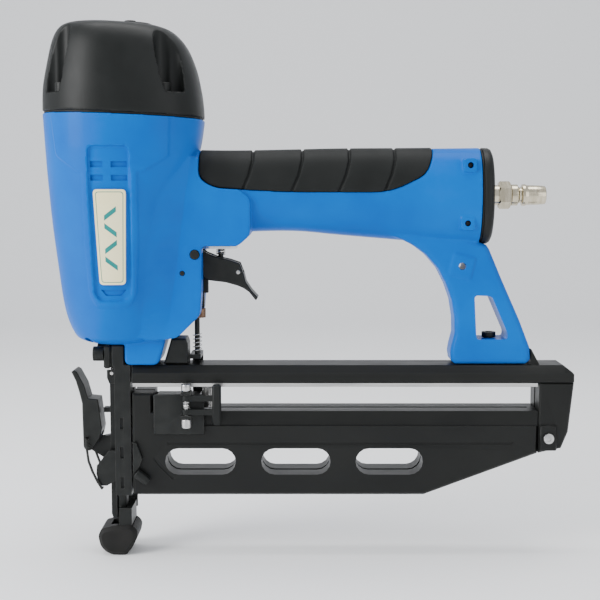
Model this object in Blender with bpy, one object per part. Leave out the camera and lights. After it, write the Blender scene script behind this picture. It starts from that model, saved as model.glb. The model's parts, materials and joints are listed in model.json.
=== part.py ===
"""Pneumatic finish nailer with a side-loading pusher magazine.

Units in this file are millimetres until new_object() scales them to metres.
The origin is the centre of the muzzle's contact face, on the driver's axis.
+Z runs up the driver's axis, +X towards the air plug, and -Y is the pusher's side.
"""
import math

import bmesh
import bpy
from mathutils import Matrix, Vector

MM = 0.001
GAP = 0.3
SIDES = [(-1, "near"), (1, "far")]

# Barrel and cap. Both share the tilt of the seam between them.
SEAM_Z = 262.0
SEAM_TILT = 0.041
CAP_BASE_Z = SEAM_Z + 1.5
BORE_R = 27.0
FLOOR_Z = 142.0
BARREL_SECTIONS = [  # height, reach to -X, reach to +X, half width
    (128.0, 14.0, 20.0, 14.0),
    (133.0, 24.0, 27.0, 22.0),
    (142.0, 28.6, 29.5, 27.0),
    (154.0, 31.6, 31.8, 31.0),
    (172.0, 33.9, 34.0, 33.8),
    (200.0, 37.2, 37.5, 37.0),
    (225.0, 39.3, 42.0, 39.3),
    (243.0, 40.5, 50.0, 40.6),
    (SEAM_Z, 41.7, 53.3, 41.5),
]
CAP_SECTIONS = [
    (CAP_BASE_Z, 41.7, 53.2, 41.5),
    (279.0, 41.0, 51.6, 40.8),
    (291.0, 38.7, 49.0, 38.8),
    (302.0, 36.2, 44.6, 36.0),
    (309.0, 33.6, 39.5, 33.0),
    (313.5, 29.5, 33.0, 28.5),
    (315.3, 22.0, 24.0, 21.0),
]
RING_POINTS = 32
RING_FULLNESS = 0.22
CAP_SCREWS = [(-25.5, -25.0), (-25.5, 25.0), (32.0, -26.5), (32.0, 26.5)]
CAP_SCREW_R = 2.4
CAP_GROOVE_R = 6.2
SCREW_FLOOR_Z = 274.4
DEFLECTOR_X = 10.0
DEFLECTOR_R = 14.0
DEFLECTOR_SEAT_Z = 309.0

# Handle, air inlet and strut.
INLET_Z = 216.1
HANDLE_END_X = 215.2
HANDLE_SECTIONS = [  # position, underside, top, half width
    (38.0, 192.0, 242.5, 16.0),
    (70.0, 194.0, 242.0, 16.5),
    (105.0, 194.8, 242.6, 17.0),
    (133.6, 192.4, 243.2, 17.0),
    (169.6, 189.4, 243.4, 17.5),
    (192.0, 187.6, 243.6, 19.5),
    (HANDLE_END_X, 187.2, 244.0, 22.0),
]
HANDLE_SQUARENESS = 0.85
HANDLE_WALL = 5.0
GRIP_SKIN = 2.4
STRUT_HALF = 11.0
STRUT_EYE = (205.3, 174.4)
STRUT_EYE_R = 2.2
STRUT_BOLT_X = 223.0
STRUT_BOLT_R = 2.3
END_PINS = [(208.0, 233.4), (206.9, 199.9)]
END_PIN_R = 1.5

# Trigger and its valve.
TRIGGER_PIVOT = (48.3, 181.7)
TRIGGER_PIN_R = 2.6
LEVER_PIVOT = (73.0, 170.7)
LEVER_PIN_R = 1.2
GUIDE_PIN = (41.0, 170.8)
GUIDE_PIN_R = 1.3
TRIGGER_BOX_HALF = 19.5
TRIGGER_HALF = 8.0
SLOT_HALF = 8.8
VALVE_X = 62.3
VALVE_R = 8.7

# Contact arm and depth wheel.
ROD_X = 47.8
WHEEL_Z = (143.0, 148.5)
ARM_TRAVEL = 8.0

# Nose and magazine.
NOSE_HALF = 12.0
NOSE_BACK_X = 8.8
CHANNEL_HALF = 1.4
NOSE_BOLT_Y = 8.0
NOSE_BOLT_Z = 122.1
NOSE_BOLT_R = 2.2
NOSE_BOLT_PROFILE = [  # radius, position along X from the barrel's centre
    (0, -11.0), (3.9, -11.0), (3.9, -13.4), (4.4, -12.8), (4.4, -7.2), (NOSE_BOLT_R, -7.2),
    (NOSE_BOLT_R, 18.0), (0, 18.0),
]
DOOR_PIVOT = (-2.7, 110.3)
DOOR_PIN_R = 1.1
DOOR_HALF = 5.6
LATCH_PIVOT = (-17.3, 66.3)
LATCH_PIN_R = 1.3
BAIL_PIVOT = (-17.9, 70.9)
BAIL_R = 0.8
MAG_HALF = 14.0
MAG_FRONT_X = 10.0
MAG_REAR_X = 251.5
MAG_END_X = 272.0
LOWER_TOP_Z = 88.3
LOWER_BOTTOM_Z = 37.9
RAIL_BOTTOM_Z = 105.6
RAIL_TOP_Z = 115.6
SIDE_SLOTS = [(29.3, 71.3), (86.5, 127.8), (142.8, 182.8)]
SIDE_SLOT_Z = (50.1, 66.0)
PAWL_PIVOT = (42.8, -20.4)
END_SCREW = (257.0, 72.4)

# Driver inside the barrel.
CYLINDER_R = 23.5
CYLINDER_TOP_Z = 255.0
PISTON_Z = 243.0
BLADE_TIP_Z = 105.0
BUMPER_TOP_Z = 158.0


def clear_scene():
    for item in list(bpy.data.objects):
        bpy.data.objects.remove(item, do_unlink=True)


def material(name, color, roughness, metallic=0.0):
    mat = bpy.data.materials.get(name) or bpy.data.materials.new(name)
    mat.use_nodes = True
    shader = mat.node_tree.nodes["Principled BSDF"]
    shader.inputs["Base Color"].default_value = (*color, 1.0)
    shader.inputs["Roughness"].default_value = roughness
    shader.inputs["Metallic"].default_value = metallic
    return mat


BLUE = ("blue_paint", (0.01, 0.19, 0.65), 0.35, 0.0)
BLACK = ("black_plastic", (0.02, 0.022, 0.021), 0.45, 0.0)
RUBBER = ("soft_rubber", (0.025, 0.027, 0.026), 0.8, 0.0)
STEEL = ("blackened_steel", (0.03, 0.031, 0.03), 0.4, 0.8)
BRIGHT = ("bright_steel", (0.6, 0.6, 0.62), 0.3, 1.0)
ALLOY = ("aluminium", (0.75, 0.76, 0.78), 0.35, 1.0)
NICKEL = ("nickel_plate", (0.75, 0.70, 0.58), 0.2, 1.0)
BRASS = ("brass", (0.65, 0.42, 0.16), 0.3, 1.0)
CREAM = ("badge", (0.9, 0.87, 0.62), 0.3, 0.0)


def new_object(name, mesh, finish, pivot=(0.0, 0.0, 0.0), smooth=True):
    """Turn a bmesh in millimetres into an object in metres, with its origin at the pivot."""
    centre = Vector(pivot)
    bmesh.ops.translate(mesh, verts=mesh.verts, vec=-centre)
    bmesh.ops.scale(mesh, verts=mesh.verts, vec=(MM, MM, MM))
    bmesh.ops.recalc_face_normals(mesh, faces=mesh.faces)
    data = bpy.data.meshes.new(name)
    mesh.to_mesh(data)
    mesh.free()
    data.materials.append(material(*finish))
    if smooth:
        data.shade_smooth()
        data.set_sharp_from_angle(angle=math.radians(32))
    item = bpy.data.objects.new(name, data)
    item.location = centre * MM
    bpy.context.scene.collection.objects.link(item)
    return item


def combine(item, mesh, operation, label):
    """Add a live Boolean to the item, with the other shape kept as a wire guide."""
    guide = new_object(f"{item.name}_{label}", mesh, BLACK, smooth=False)
    guide.hide_render = True
    guide.display_type = "WIRE"
    step = item.modifiers.new(label, "BOOLEAN")
    step.operation = operation
    step.solver = "EXACT"
    step.object = guide
    return guide


def cut(item, label, *shapes):
    for index, shape in enumerate(shapes):
        combine(item, shape, "DIFFERENCE", f"{label}_{index}")


def add(item, label, *shapes):
    for index, shape in enumerate(shapes):
        combine(item, shape, "UNION", f"{label}_{index}")


def box(x0, x1, y0, y1, z0, z1):
    mesh = bmesh.new()
    bmesh.ops.create_cube(mesh, size=1.0)
    bmesh.ops.scale(mesh, verts=mesh.verts, vec=(x1 - x0, y1 - y0, z1 - z0))
    middle = ((x0 + x1) / 2, (y0 + y1) / 2, (z0 + z1) / 2)
    bmesh.ops.translate(mesh, verts=mesh.verts, vec=middle)
    return mesh


def block(x0, x1, half, z0, z1, edge=0.0):
    """A box centred on Y, with all its edges bevelled."""
    return soften(box(x0, x1, -half, half, z0, z1), edge)


def soften(mesh, width, segments=1):
    if width > 0:
        edges = [e for e in mesh.edges if e.calc_face_angle(0) > math.radians(40)]
        bmesh.ops.bevel(mesh, geom=edges, offset=width, segments=segments, affect="EDGES")
    return mesh


def prism(outline, y0, y1, edge=0.0):
    """Extrude an outline of (x, z) points along Y."""
    mesh = bmesh.new()
    face = mesh.faces.new([mesh.verts.new((x, y0, z)) for x, z in outline])
    grown = bmesh.ops.extrude_face_region(mesh, geom=[face])
    moved = [v for v in grown["geom"] if isinstance(v, bmesh.types.BMVert)]
    bmesh.ops.translate(mesh, verts=moved, vec=(0, y1 - y0, 0))
    if edge > 0:
        rims = [e for e in mesh.edges if abs(e.verts[0].co.y - e.verts[1].co.y) < 1e-6]
        bmesh.ops.bevel(mesh, geom=rims, offset=edge, segments=1, affect="EDGES")
    return mesh


def arc(x, z, radius, start, end, steps):
    """Points on an arc from start to end, in degrees from +X towards +Z."""
    turns = [math.radians(start + (end - start) * i / steps) for i in range(steps + 1)]
    return [(x + radius * math.cos(t), z + radius * math.sin(t)) for t in turns]


def rounded(points, radius, steps=3):
    """Replace each corner of a closed outline with an arc-like curve."""
    outline = []
    for index, corner in enumerate(points):
        here = Vector(corner)
        before = Vector(points[index - 1]) - here
        after = Vector(points[(index + 1) % len(points)]) - here
        reach = min(radius, before.length * 0.45, after.length * 0.45)
        first = here + before.normalized() * reach
        last = here + after.normalized() * reach
        for i in range(steps + 1):
            t = i / steps
            point = first * (1 - t) ** 2 + here * 2 * t * (1 - t) + last * t ** 2
            outline.append((point.x, point.y))
    return outline


def loft(rings):
    """Skin a list of rings with equal point counts, and cap both ends."""
    mesh = bmesh.new()
    rows = [[mesh.verts.new(point) for point in ring] for ring in rings]
    for low, high in zip(rows, rows[1:]):
        for i in range(len(low)):
            j = (i + 1) % len(low)
            mesh.faces.new((low[i], low[j], high[j], high[i]))
    mesh.faces.new(list(reversed(rows[0])))
    mesh.faces.new(rows[-1])
    return mesh


def turned(profile, centre, axis="Z", segments=24):
    """Spin a closed profile of (radius, height) points about an axis through the centre."""
    mesh = bmesh.new()
    rows = []
    for i in range(segments):
        t = 2 * math.pi * i / segments
        rows.append([mesh.verts.new((r * math.cos(t), r * math.sin(t), h)) for r, h in profile])
    for i in range(segments):
        here, there = rows[i], rows[(i + 1) % segments]
        for a in range(len(profile)):
            b = (a + 1) % len(profile)
            mesh.faces.new((here[a], there[a], there[b], here[b]))
    bmesh.ops.remove_doubles(mesh, verts=mesh.verts, dist=1e-4)
    bmesh.ops.dissolve_degenerate(mesh, edges=mesh.edges, dist=1e-5)
    turn_to = {"Z": (0, 0, 1), "X": (1, 0, 0), "Y": (0, 1, 0)}.get(axis, axis)
    spin = Vector((0, 0, 1)).rotation_difference(Vector(turn_to).normalized()).to_matrix()
    bmesh.ops.transform(mesh, matrix=Matrix.Translation(centre) @ spin.to_4x4(), verts=mesh.verts)
    return mesh


def rod(radius, start, end, segments=16):
    """A plain round bar between two points."""
    start, end = Vector(start), Vector(end)
    mesh = bmesh.new()
    length = (end - start).length
    bmesh.ops.create_cone(
        mesh, cap_ends=True, segments=segments, radius1=radius, radius2=radius, depth=length)
    spin = Vector((0, 0, 1)).rotation_difference((end - start).normalized()).to_matrix().to_4x4()
    place = Matrix.Translation((start + end) / 2) @ spin
    bmesh.ops.transform(mesh, matrix=place, verts=mesh.verts)
    return mesh


def wire(name, points, radius, finish, pivot=(0.0, 0.0, 0.0), sides=1):
    """A bent wire through the points, as a bevelled curve with filled ends."""
    curve = bpy.data.curves.new(name, "CURVE")
    curve.dimensions = "3D"
    curve.bevel_depth = radius * MM
    curve.bevel_resolution = sides
    curve.use_fill_caps = True
    curve.resolution_u = 1
    spline = curve.splines.new("POLY")
    spline.points.add(len(points) - 1)
    centre = Vector(pivot)
    for knot, point in zip(spline.points, points):
        knot.co = (*((Vector(point) - centre) * MM), 1.0)
    curve.materials.append(material(*finish))
    item = bpy.data.objects.new(name, curve)
    item.location = centre * MM
    bpy.context.scene.collection.objects.link(item)
    return item


def coil(name, centre, radius, gauge, z0, z1, turns, finish, steps=8):
    """A compression spring standing on Z, as a wire along a helix."""
    x, y = centre
    count = turns * steps
    points = []
    for i in range(count + 1):
        t = 2 * math.pi * i / steps
        height = z0 + gauge + (z1 - z0 - 2 * gauge) * i / count
        points.append((x + radius * math.cos(t), y + radius * math.sin(t), height))
    return wire(name, points, gauge, finish, pivot=(x, y, z0), sides=0)


def seam_height(x, z):
    return z - SEAM_TILT * x


def egg_ring(z, left, right, half, tilt, grow=0.0):
    """One level section of the barrel: round towards -X and fuller towards +X."""
    ring = []
    for i in range(RING_POINTS):
        t = 2 * math.pi * i / RING_POINTS
        c, s = math.cos(t), math.sin(t)
        reach = (right if c > 0 else left) + grow
        power = 1.0 - RING_FULLNESS * max(c, 0) * (1 if right > half else 0)
        x = reach * math.copysign(abs(c) ** power, c)
        y = (half + grow) * math.copysign(abs(s) ** power, s)
        ring.append((x, y, seam_height(x, z) if tilt else z))
    return ring


def barrel_half_width(x, z):
    """Half width of the barrel's surface at a point of its side."""
    low = max((s for s in BARREL_SECTIONS if s[0] <= z), key=lambda s: s[0])
    high = min((s for s in BARREL_SECTIONS if s[0] >= z), key=lambda s: s[0])
    t = 0.0 if high[0] == low[0] else (z - low[0]) / (high[0] - low[0])
    half = low[3] + (high[3] - low[3]) * t
    reach = (low[2] + (high[2] - low[2]) * t) if x > 0 else (low[1] + (high[1] - low[1]) * t)
    return half * math.sqrt(1 - (x / reach) ** 2)


def handle_ring(x, low, top, half, grow=0.0, count=20):
    """One upright section of the handle, an oval a little squarer than an ellipse."""
    ring = []
    for i in range(count):
        t = 2 * math.pi * i / count
        c, s = math.cos(t), math.sin(t)
        height = (top - low) / 2 + grow
        y = (half + grow) * math.copysign(abs(c) ** HANDLE_SQUARENESS, c)
        z = (low + top) / 2 + height * math.copysign(abs(s) ** HANDLE_SQUARENESS, s)
        ring.append((x, y, z))
    return ring


def handle_loft(grow, start, end):
    """The handle's skin, grown or shrunk, between two positions along X."""
    spots = [start] + [s[0] for s in HANDLE_SECTIONS if start + 1 < s[0] < end - 1] + [end]
    rings = []
    for x in spots:
        before = [s for s in HANDLE_SECTIONS if s[0] <= x] or HANDLE_SECTIONS[:1]
        after = [s for s in HANDLE_SECTIONS if s[0] >= x] or HANDLE_SECTIONS[-1:]
        low, high = before[-1], after[0]
        t = 0.0 if high[0] == low[0] else (x - low[0]) / (high[0] - low[0])
        sizes = [a + (b - a) * t for a, b in zip(low[1:], high[1:])]
        rings.append(handle_ring(x, *sizes, grow=grow))
    return loft(rings)


def grip_outline(grow=0.0):
    """Side view of the rubber grip, which wraps over the top of the handle."""
    corners = [
        (51.0 - grow, 260.0),
        (51.0 - grow, 226.0 - grow),
        (60.0, 220.6 - grow),
        (105.0, 218.0 - grow),
        (162.0 + grow, 218.0 - grow),
        (183.0 + grow, 229.0),
        (187.0 + grow, 260.0),
    ]
    return rounded(corners, 9.0)


def strut_outline():
    """Side view of the strut that ties the handle's end to the magazine."""
    underside = [
        (160.0, 193.5), (169.6, 190.2), (176.8, 186.4), (184.0, 181.0), (191.2, 172.8), (197.0, 161.0),
    ]
    front = [(200.4, 148.0), (201.6, 136.0), (200.6, 130.2), (198.9, 123.5), (201.0, RAIL_TOP_Z + GAP)]
    back = [(246.5, RAIL_TOP_Z + GAP), (246.8, 124.2), (239.9, 142.1), (229.2, 165.9), (221.4, 184.5)]
    top = [(215.6, 187.0), (210.0, 197.0), (165.0, 205.0)]
    return underside + front + back + top


def cross_hole(radius, x, z, half=22.0, segments=12):
    """A round cutter along Y through the side view's point."""
    return rod(radius, (x, -half, z), (x, half, z), segments)


def main_housing():
    """Barrel, trigger box, handle and strut: one hollow casting."""
    skin = loft([egg_ring(*s, tilt=s[0] == SEAM_Z) for s in BARREL_SECTIONS])
    item = new_object("main_housing", skin, BLUE)
    trigger_box = [
        (18.0, 130.6), (31.5, 131.7), (37.9, 132.9), (51.4, 146.0), (52.5, 161.2), (52.5, 186.4),
        (73.6, 186.4), (76.5, 188.5), (80.8, 197.0), (80.8, 225.0), (51.0, 250.0), (18.0, 250.0),
    ]
    foot_z = RAIL_TOP_Z + GAP
    foot = rounded([(5.8, foot_z), (26.0, foot_z), (30.4, 131.0), (26.0, 140.0), (5.8, 140.0)], 3.0)
    add(item, "box", prism(trigger_box, -TRIGGER_BOX_HALF, TRIGGER_BOX_HALF, edge=3.0))
    add(item, "foot", prism(foot, -15.0, 15.0, edge=2.0))
    add(item, "handle", handle_loft(0.0, 38.0, HANDLE_END_X))
    add(item, "strut", prism(strut_outline(), -STRUT_HALF, STRUT_HALF, edge=3.0))
    foot_r = CYLINDER_R + 0.8
    bore = [
        (0, FLOOR_Z), (foot_r, FLOOR_Z), (foot_r, FLOOR_Z + 5.0), (BORE_R, FLOOR_Z + 9.0),
        (BORE_R, 275.0), (0, 275.0),
    ]
    cut(item, "bore", turned(bore, (0, 0, 0), segments=32))
    cut(item, "air", handle_loft(-HANDLE_WALL, 57.0, HANDLE_END_X + 4.0))
    cut(item, "port", rod(9.0, (20.0, 0, 222.0), (60.0, 0, 222.0), 12))
    cut(item, "driver_hole", box(-3.0, 3.0, -3.5, 3.5, 120.0, FLOOR_Z + 2.0))
    cut(item, "trigger_slot", block(43.6, 60.0, SLOT_HALF, 125.0, 186.0))
    cut(item, "wheel_slot", rod(6.4, (ROD_X, 0, 141.0), (ROD_X, 0, 160.0), 12))
    cut(item, "valve", rod(VALVE_R + GAP, (VALVE_X, 0, 180.0), (VALVE_X, 0, 216.0), 20))
    window = [(212.7, 157.1), (222.9, 156.7), (232.8, 134.1), (232.4, 130.9), (214.2, 130.8)]
    cut(item, "strut_window", prism(rounded(window, 1.6, 2), -20.0, 20.0))
    cut(item, "strut_eye", cross_hole(STRUT_EYE_R, *STRUT_EYE))
    cut(item, "strut_bolt", rod(STRUT_BOLT_R + 0.4, (STRUT_BOLT_X, 0, 110.0), (STRUT_BOLT_X, 0, 132.0), 12))
    cut(item, "pivot", cross_hole(TRIGGER_PIN_R + 3 * GAP, *TRIGGER_PIVOT, segments=16))
    cut(item, "guide_pin", cross_hole(GUIDE_PIN_R + GAP, *GUIDE_PIN, segments=10))
    for index, (x, z) in enumerate(END_PINS):
        cut(item, f"pin_{index}", cross_hole(END_PIN_R + GAP, x, z, half=24.0, segments=10))
    for index, (x, y) in enumerate(CAP_SCREWS):
        cut(item, f"screw_{index}", rod(CAP_SCREW_R + GAP, (x, y, 243.0), (x, y, 270.0), 10))
    for sign, side in SIDES:
        cut(item, f"nose_bolt_{side}", nose_bolt_hole(sign, 0.0, 19.0))
    add(item, "arm_guide", box(37.0, 50.4, -SLOT_HALF - 1, SLOT_HALF + 1, 134.0, 138.0))
    cut(item, "arm_rod", rod(2.3, (ROD_X, 0, 130.0), (ROD_X, 0, 140.0), 10))
    recess = combine(item, prism(grip_outline(GAP), -30.0, 30.0), "DIFFERENCE", "grip_recess")
    combine(recess, handle_loft(-GRIP_SKIN - GAP, 30.0, 200.0), "DIFFERENCE", "core")


def handle_grip():
    item = new_object("handle_grip", handle_loft(0.0, 45.0, 200.0), RUBBER)
    combine(item, prism(grip_outline(), -30.0, 30.0), "INTERSECT", "region")
    combine(item, handle_loft(-GRIP_SKIN, 40.0, 205.0), "DIFFERENCE", "core")


def end_cap():
    """Oval cap that closes the handle, with a skirt that the two cross pins hold."""
    low, top, half = HANDLE_SECTIONS[-1][1:]
    face = HANDLE_END_X + 1.4
    rings = [
        handle_ring(face, low, top, half - GAP),
        handle_ring(220.4, low, top, half - GAP),
        handle_ring(222.4, low, top, half, grow=-3.0),
        handle_ring(223.2, low, top, half, grow=-9.0),
    ]
    item = new_object("end_cap", loft(rings), BLACK)
    outer = -HANDLE_WALL - GAP - 0.8
    inner = outer - 3.0
    skirt = [handle_ring(x, low + 0.6, top, half - 1.4, grow=outer) for x in (204.0, face + 1.0)]
    hollow = [handle_ring(x, low + 0.6, top, half - 1.4, grow=inner) for x in (198.0, face - 0.2)]
    add(item, "skirt", loft(skirt))
    cut(item, "hollow", loft(hollow))
    cut(item, "plug_hole", rod(6.3, (212.0, 0, INLET_Z), (226.0, 0, INLET_Z), 16))
    for side, (x, z) in zip(("upper", "lower"), END_PINS):
        cut(item, f"pin_{side}", cross_hole(END_PIN_R + GAP, x, z, half=24.0, segments=10))
        new_object(f"end_cap_pin_{side}", cross_hole(END_PIN_R, x, z, half=18.5, segments=10), STEEL)
    ring = loft([handle_ring(x, low, top, half, grow=-0.8) for x in (HANDLE_END_X + GAP, face - GAP)])
    gasket = new_object("end_cap_gasket", ring, RUBBER)
    cut(gasket, "inside", loft([handle_ring(x, low, top, half, grow=-HANDLE_WALL) for x in (210.0, 220.0)]))


def air_plug():
    """Quick-release plug: thread, hexagon, grooved neck and tapered nose, bored through."""
    body = [
        (3.5, 218.0), (6.0, 218.0), (6.0, 227.4), (5.6, 227.4), (5.6, 234.4), (6.3, 234.4), (6.3, 239.0),
        (4.6, 239.6), (4.6, 240.8), (6.5, 241.4), (6.5, 243.0), (5.9, 244.4), (5.4, 255.4), (3.5, 255.4),
    ]
    item = new_object("air_plug", turned(body, (0, 0, INLET_Z), "X", 20), NICKEL)
    hexagon = turned([(4.5, 227.4), (7.6, 227.4), (8.2, 228.1), (8.2, 233.7), (7.6, 234.4), (4.5, 234.4)],
                     (0, 0, INLET_Z), "X", 6)
    add(item, "hexagon", hexagon)


def exhaust_cap():
    """Cap that closes the barrel, with its four screws down in grooves."""
    item = new_object("exhaust_cap", loft([egg_ring(*s, tilt=True) for s in CAP_SECTIONS]), BLACK)
    chamber = [(0, 250.0), (BORE_R, 250.0), (BORE_R, 290.0), (0, 290.0)]
    seat = DEFLECTOR_SEAT_Z
    cut(item, "chamber", turned(chamber, (0, 0, 0), segments=32))
    cut(item, "seat", rod(DEFLECTOR_R + 1.0, (DEFLECTOR_X, 0, seat), (DEFLECTOR_X, 0, 330.0), 28))
    cut(item, "deflector_screw", rod(2.0, (DEFLECTOR_X, 0, 304.0), (DEFLECTOR_X, 0, 312.0), 10))
    for index, y in enumerate((-7.0, 7.0)):
        cut(item, f"port_{index}", rod(3.6, (DEFLECTOR_X, y, 280.0), (DEFLECTOR_X, y, 320.0), 12))
    for index, (x, y) in enumerate(CAP_SCREWS):
        cut(item, f"hole_{index}", rod(CAP_SCREW_R + GAP, (x, y, 255.0), (x, y, 280.0), 10))
        push = 1.03
        groove = rod(CAP_GROOVE_R, (x * push, y * push, SCREW_FLOOR_Z), (x * push, y * push, 330.0))
        cut(item, f"groove_{index}", groove)
        new_object(f"cap_screw_{index + 1}", turned(cap_screw_profile(), (x, y, 0), segments=12), STEEL)


def cap_screw_profile():
    """Socket head screw: shank, head and the recess in the head."""
    head = SCREW_FLOOR_Z + GAP
    shank = [(0, 246.0), (CAP_SCREW_R, 246.0), (CAP_SCREW_R, head)]
    rim = [(4.2, head), (4.2, head + 4.6), (3.8, head + 5.0)]
    socket = [(2.0, head + 5.0), (2.0, head + 2.5), (0, head + 2.5)]
    return shank + rim + socket


def cap_gasket():
    left, right, half = BARREL_SECTIONS[-1][1:]
    levels = (SEAM_Z + GAP, CAP_BASE_Z - GAP)
    rings = [egg_ring(z, left, right, half, tilt=True, grow=-1.0) for z in levels]
    item = new_object("cap_gasket", loft(rings), RUBBER)
    cut(item, "bore", rod(BORE_R + 0.8, (0, 0, 250.0), (0, 0, 275.0), 32))
    for index, (x, y) in enumerate(CAP_SCREWS):
        cut(item, f"hole_{index}", rod(CAP_SCREW_R + GAP, (x, y, 250.0), (x, y, 275.0), 10))


def exhaust_deflector():
    """Turnable exhaust cover: a shallow cup with one side port, held by a centre screw."""
    floor = DEFLECTOR_SEAT_Z + GAP
    inner = DEFLECTOR_R - 2.0
    profile = [
        (2.2, floor + 4.5), (inner, floor + 4.5), (inner, floor), (DEFLECTOR_R, floor),
        (DEFLECTOR_R, floor + 5.4), (DEFLECTOR_R - 1.5, floor + 6.7), (2.2, floor + 6.7),
    ]
    item = new_object("exhaust_deflector", turned(profile, (0, 0, 0), segments=28), BLACK)
    item.location = (DEFLECTOR_X * MM, 0, 0)
    cut(item, "outlet", box(18.0, 30.0, -5.0, 5.0, 308.0, floor + 3.5))
    shank = [(0, 306.0), (1.7, 306.0), (1.7, floor + 7.0)]
    screw = shank + [(3.6, floor + 7.0), (3.2, floor + 8.6), (0, floor + 8.6)]
    new_object("deflector_screw", turned(screw, (DEFLECTOR_X, 0, 0), segments=14), STEEL)


def driver_parts():
    """Cylinder, piston, driver blade, bumper, and the head valve above them."""
    new_object("cylinder", turned([
        (21.0, FLOOR_Z + GAP), (CYLINDER_R, FLOOR_Z + GAP), (CYLINDER_R, 250.0), (BORE_R - GAP, 251.0),
        (BORE_R - GAP, CYLINDER_TOP_Z), (21.0, CYLINDER_TOP_Z)], (0, 0, 0), segments=32), ALLOY)
    new_object("bumper", turned([
        (4.5, FLOOR_Z + GAP), (20.6, FLOOR_Z + GAP), (20.6, BUMPER_TOP_Z - 4), (17.0, BUMPER_TOP_Z),
        (6.5, BUMPER_TOP_Z), (4.5, BUMPER_TOP_Z - 3)], (0, 0, 0)), RUBBER)
    new_object("piston", turned([
        (0, PISTON_Z), (19.5, PISTON_Z), (20.6, PISTON_Z + 1), (20.6, PISTON_Z + 3), (18.6, PISTON_Z + 3),
        (18.6, PISTON_Z + 6), (20.6, PISTON_Z + 6), (20.6, PISTON_Z + 9), (10.0, PISTON_Z + 9),
        (8.0, PISTON_Z + 6), (0, PISTON_Z + 6)], (0, 0, 0)), ALLOY)
    new_object("piston_ring", turned([
        (18.9, PISTON_Z + 3 + GAP), (20.7, PISTON_Z + 3 + GAP), (20.7, PISTON_Z + 6 - GAP),
        (18.9, PISTON_Z + 6 - GAP)], (0, 0, 0)), RUBBER)
    new_object("driver_blade", box(-0.6, 0.8, -1.6, 1.6, BLADE_TIP_Z, PISTON_Z - GAP), BRIGHT)
    valve_z = CYLINDER_TOP_Z + 0.5
    new_object("head_valve", turned([
        (7.0, valve_z), (25.6, valve_z), (26.5, valve_z + 1), (26.5, valve_z + 6), (23.0, valve_z + 6),
        (20.0, valve_z + 14), (7.0, valve_z + 14)], (0, 0, 0)), BLACK)
    coil("head_valve_spring", (0, 0), 14.0, 1.2, valve_z + 14 + GAP, 290.0 - GAP, 3, BRIGHT, steps=12)


def valve_parts():
    """Trigger valve: its housing with a plate, the stem, and the stem's spring."""
    body = turned([
        (2.0, 184.6), (9.4, 184.6), (9.4, 186.1), (VALVE_R, 186.1), (VALVE_R, 212.0), (5.4, 212.0),
        (5.4, 195.0), (2.0, 195.0)], (VALVE_X, 0, 0), segments=20)
    item = new_object("valve_housing", body, ALLOY)
    add(item, "plate", plate_with_hole())
    new_object("valve_stem", turned([
        (0, 178.7), (1.3, 178.7), (1.6, 179.2), (1.6, 195.4), (4.6, 195.4), (4.6, 198.0), (0, 198.0)],
        (VALVE_X, 0, 0), segments=14), STEEL)
    coil("valve_spring", (VALVE_X, 0), 3.4, 0.5, 198.0 + GAP, 211.0, 5, BRIGHT)


def plate_with_hole():
    """The valve's rectangular bottom plate, with a round hole in its middle."""
    ring = arc(VALVE_X, 0.0, 8.0, 45, 390, 23)
    square = []
    for x, y in ring:
        reach = 1.0 / max(abs(x - VALVE_X) / 9.6, abs(y) / 10.4)
        square.append((VALVE_X + (x - VALVE_X) * reach, y * reach))
    mesh = bmesh.new()
    rows = [[mesh.verts.new((x, y, z)) for x, y in path]
            for path, z in ((ring, 184.6), (square, 184.6), (square, 186.1), (ring, 186.1))]
    for row, above in zip(rows, rows[1:] + rows[:1]):
        for i in range(len(row)):
            j = (i + 1) % len(row)
            mesh.faces.new((row[i], row[j], above[j], above[i]))
    return mesh


def trigger_parts():
    """Trigger, its lever and the pins they turn on."""
    px, pz = TRIGGER_PIVOT
    lx, lz = LEVER_PIVOT
    outline = arc(px, pz, 4.0, 200, 60, 5) + [(54.0, 182.2), (60.2, 179.7), (68.0, 177.9), (73.8, 175.9)]
    outline += [(76.2, 169.8), (77.4, 165.0), (80.6, 160.0), (84.6, 155.6), (83.4, 153.8), (79.3, 158.9)]
    outline += [(76.0, 161.2), (72.4, 162.7), (65.6, 164.6), (56.4, 165.7), (53.1, 166.4), (47.5, 176.5)]
    blade = prism(outline, -TRIGGER_HALF, TRIGGER_HALF, edge=0.8)
    item = new_object("trigger", blade, BLACK, pivot=(px, 0, pz))
    room = 3.2
    cut(item, "lever_room", box(56.5, 76.0, -room, room, 167.6, 190.0))
    cut(item, "yoke_room", box(40.0, 57.0, -room, room, 150.0, 190.0))
    cut(item, "pin_hole", cross_hole(TRIGGER_PIN_R + 0.4, px, pz, segments=16))
    cut(item, "lever_pin_hole", cross_hole(LEVER_PIN_R + GAP, lx, lz, segments=10))
    pin_half = TRIGGER_BOX_HALF + 0.8
    new_object("trigger_pin", cross_hole(TRIGGER_PIN_R, px, pz, pin_half, segments=16), STEEL)
    new_object("trigger_lever_pin", cross_hole(LEVER_PIN_R, lx, lz, 8.3, segments=10), BRIGHT)
    lever = [(54.8, 169.4), (lx, lz - 2.4)] + arc(lx, lz, 2.4, -60, 90, 5) + [(64.0, 172.2), (54.8, 171.6)]
    lever_item = new_object("trigger_lever", prism(lever, -2.4, 2.4), BRIGHT, pivot=(lx, 0, lz))
    cut(lever_item, "hole", cross_hole(LEVER_PIN_R + GAP, lx, lz, segments=10))
    coil("trigger_spring", (VALVE_X, 0), 2.5, 0.4, 180.4, 184.3, 3, BRIGHT)
    new_object("guide_roll_pin", cross_hole(GUIDE_PIN_R, *GUIDE_PIN, half=19.8, segments=10), STEEL)


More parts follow.
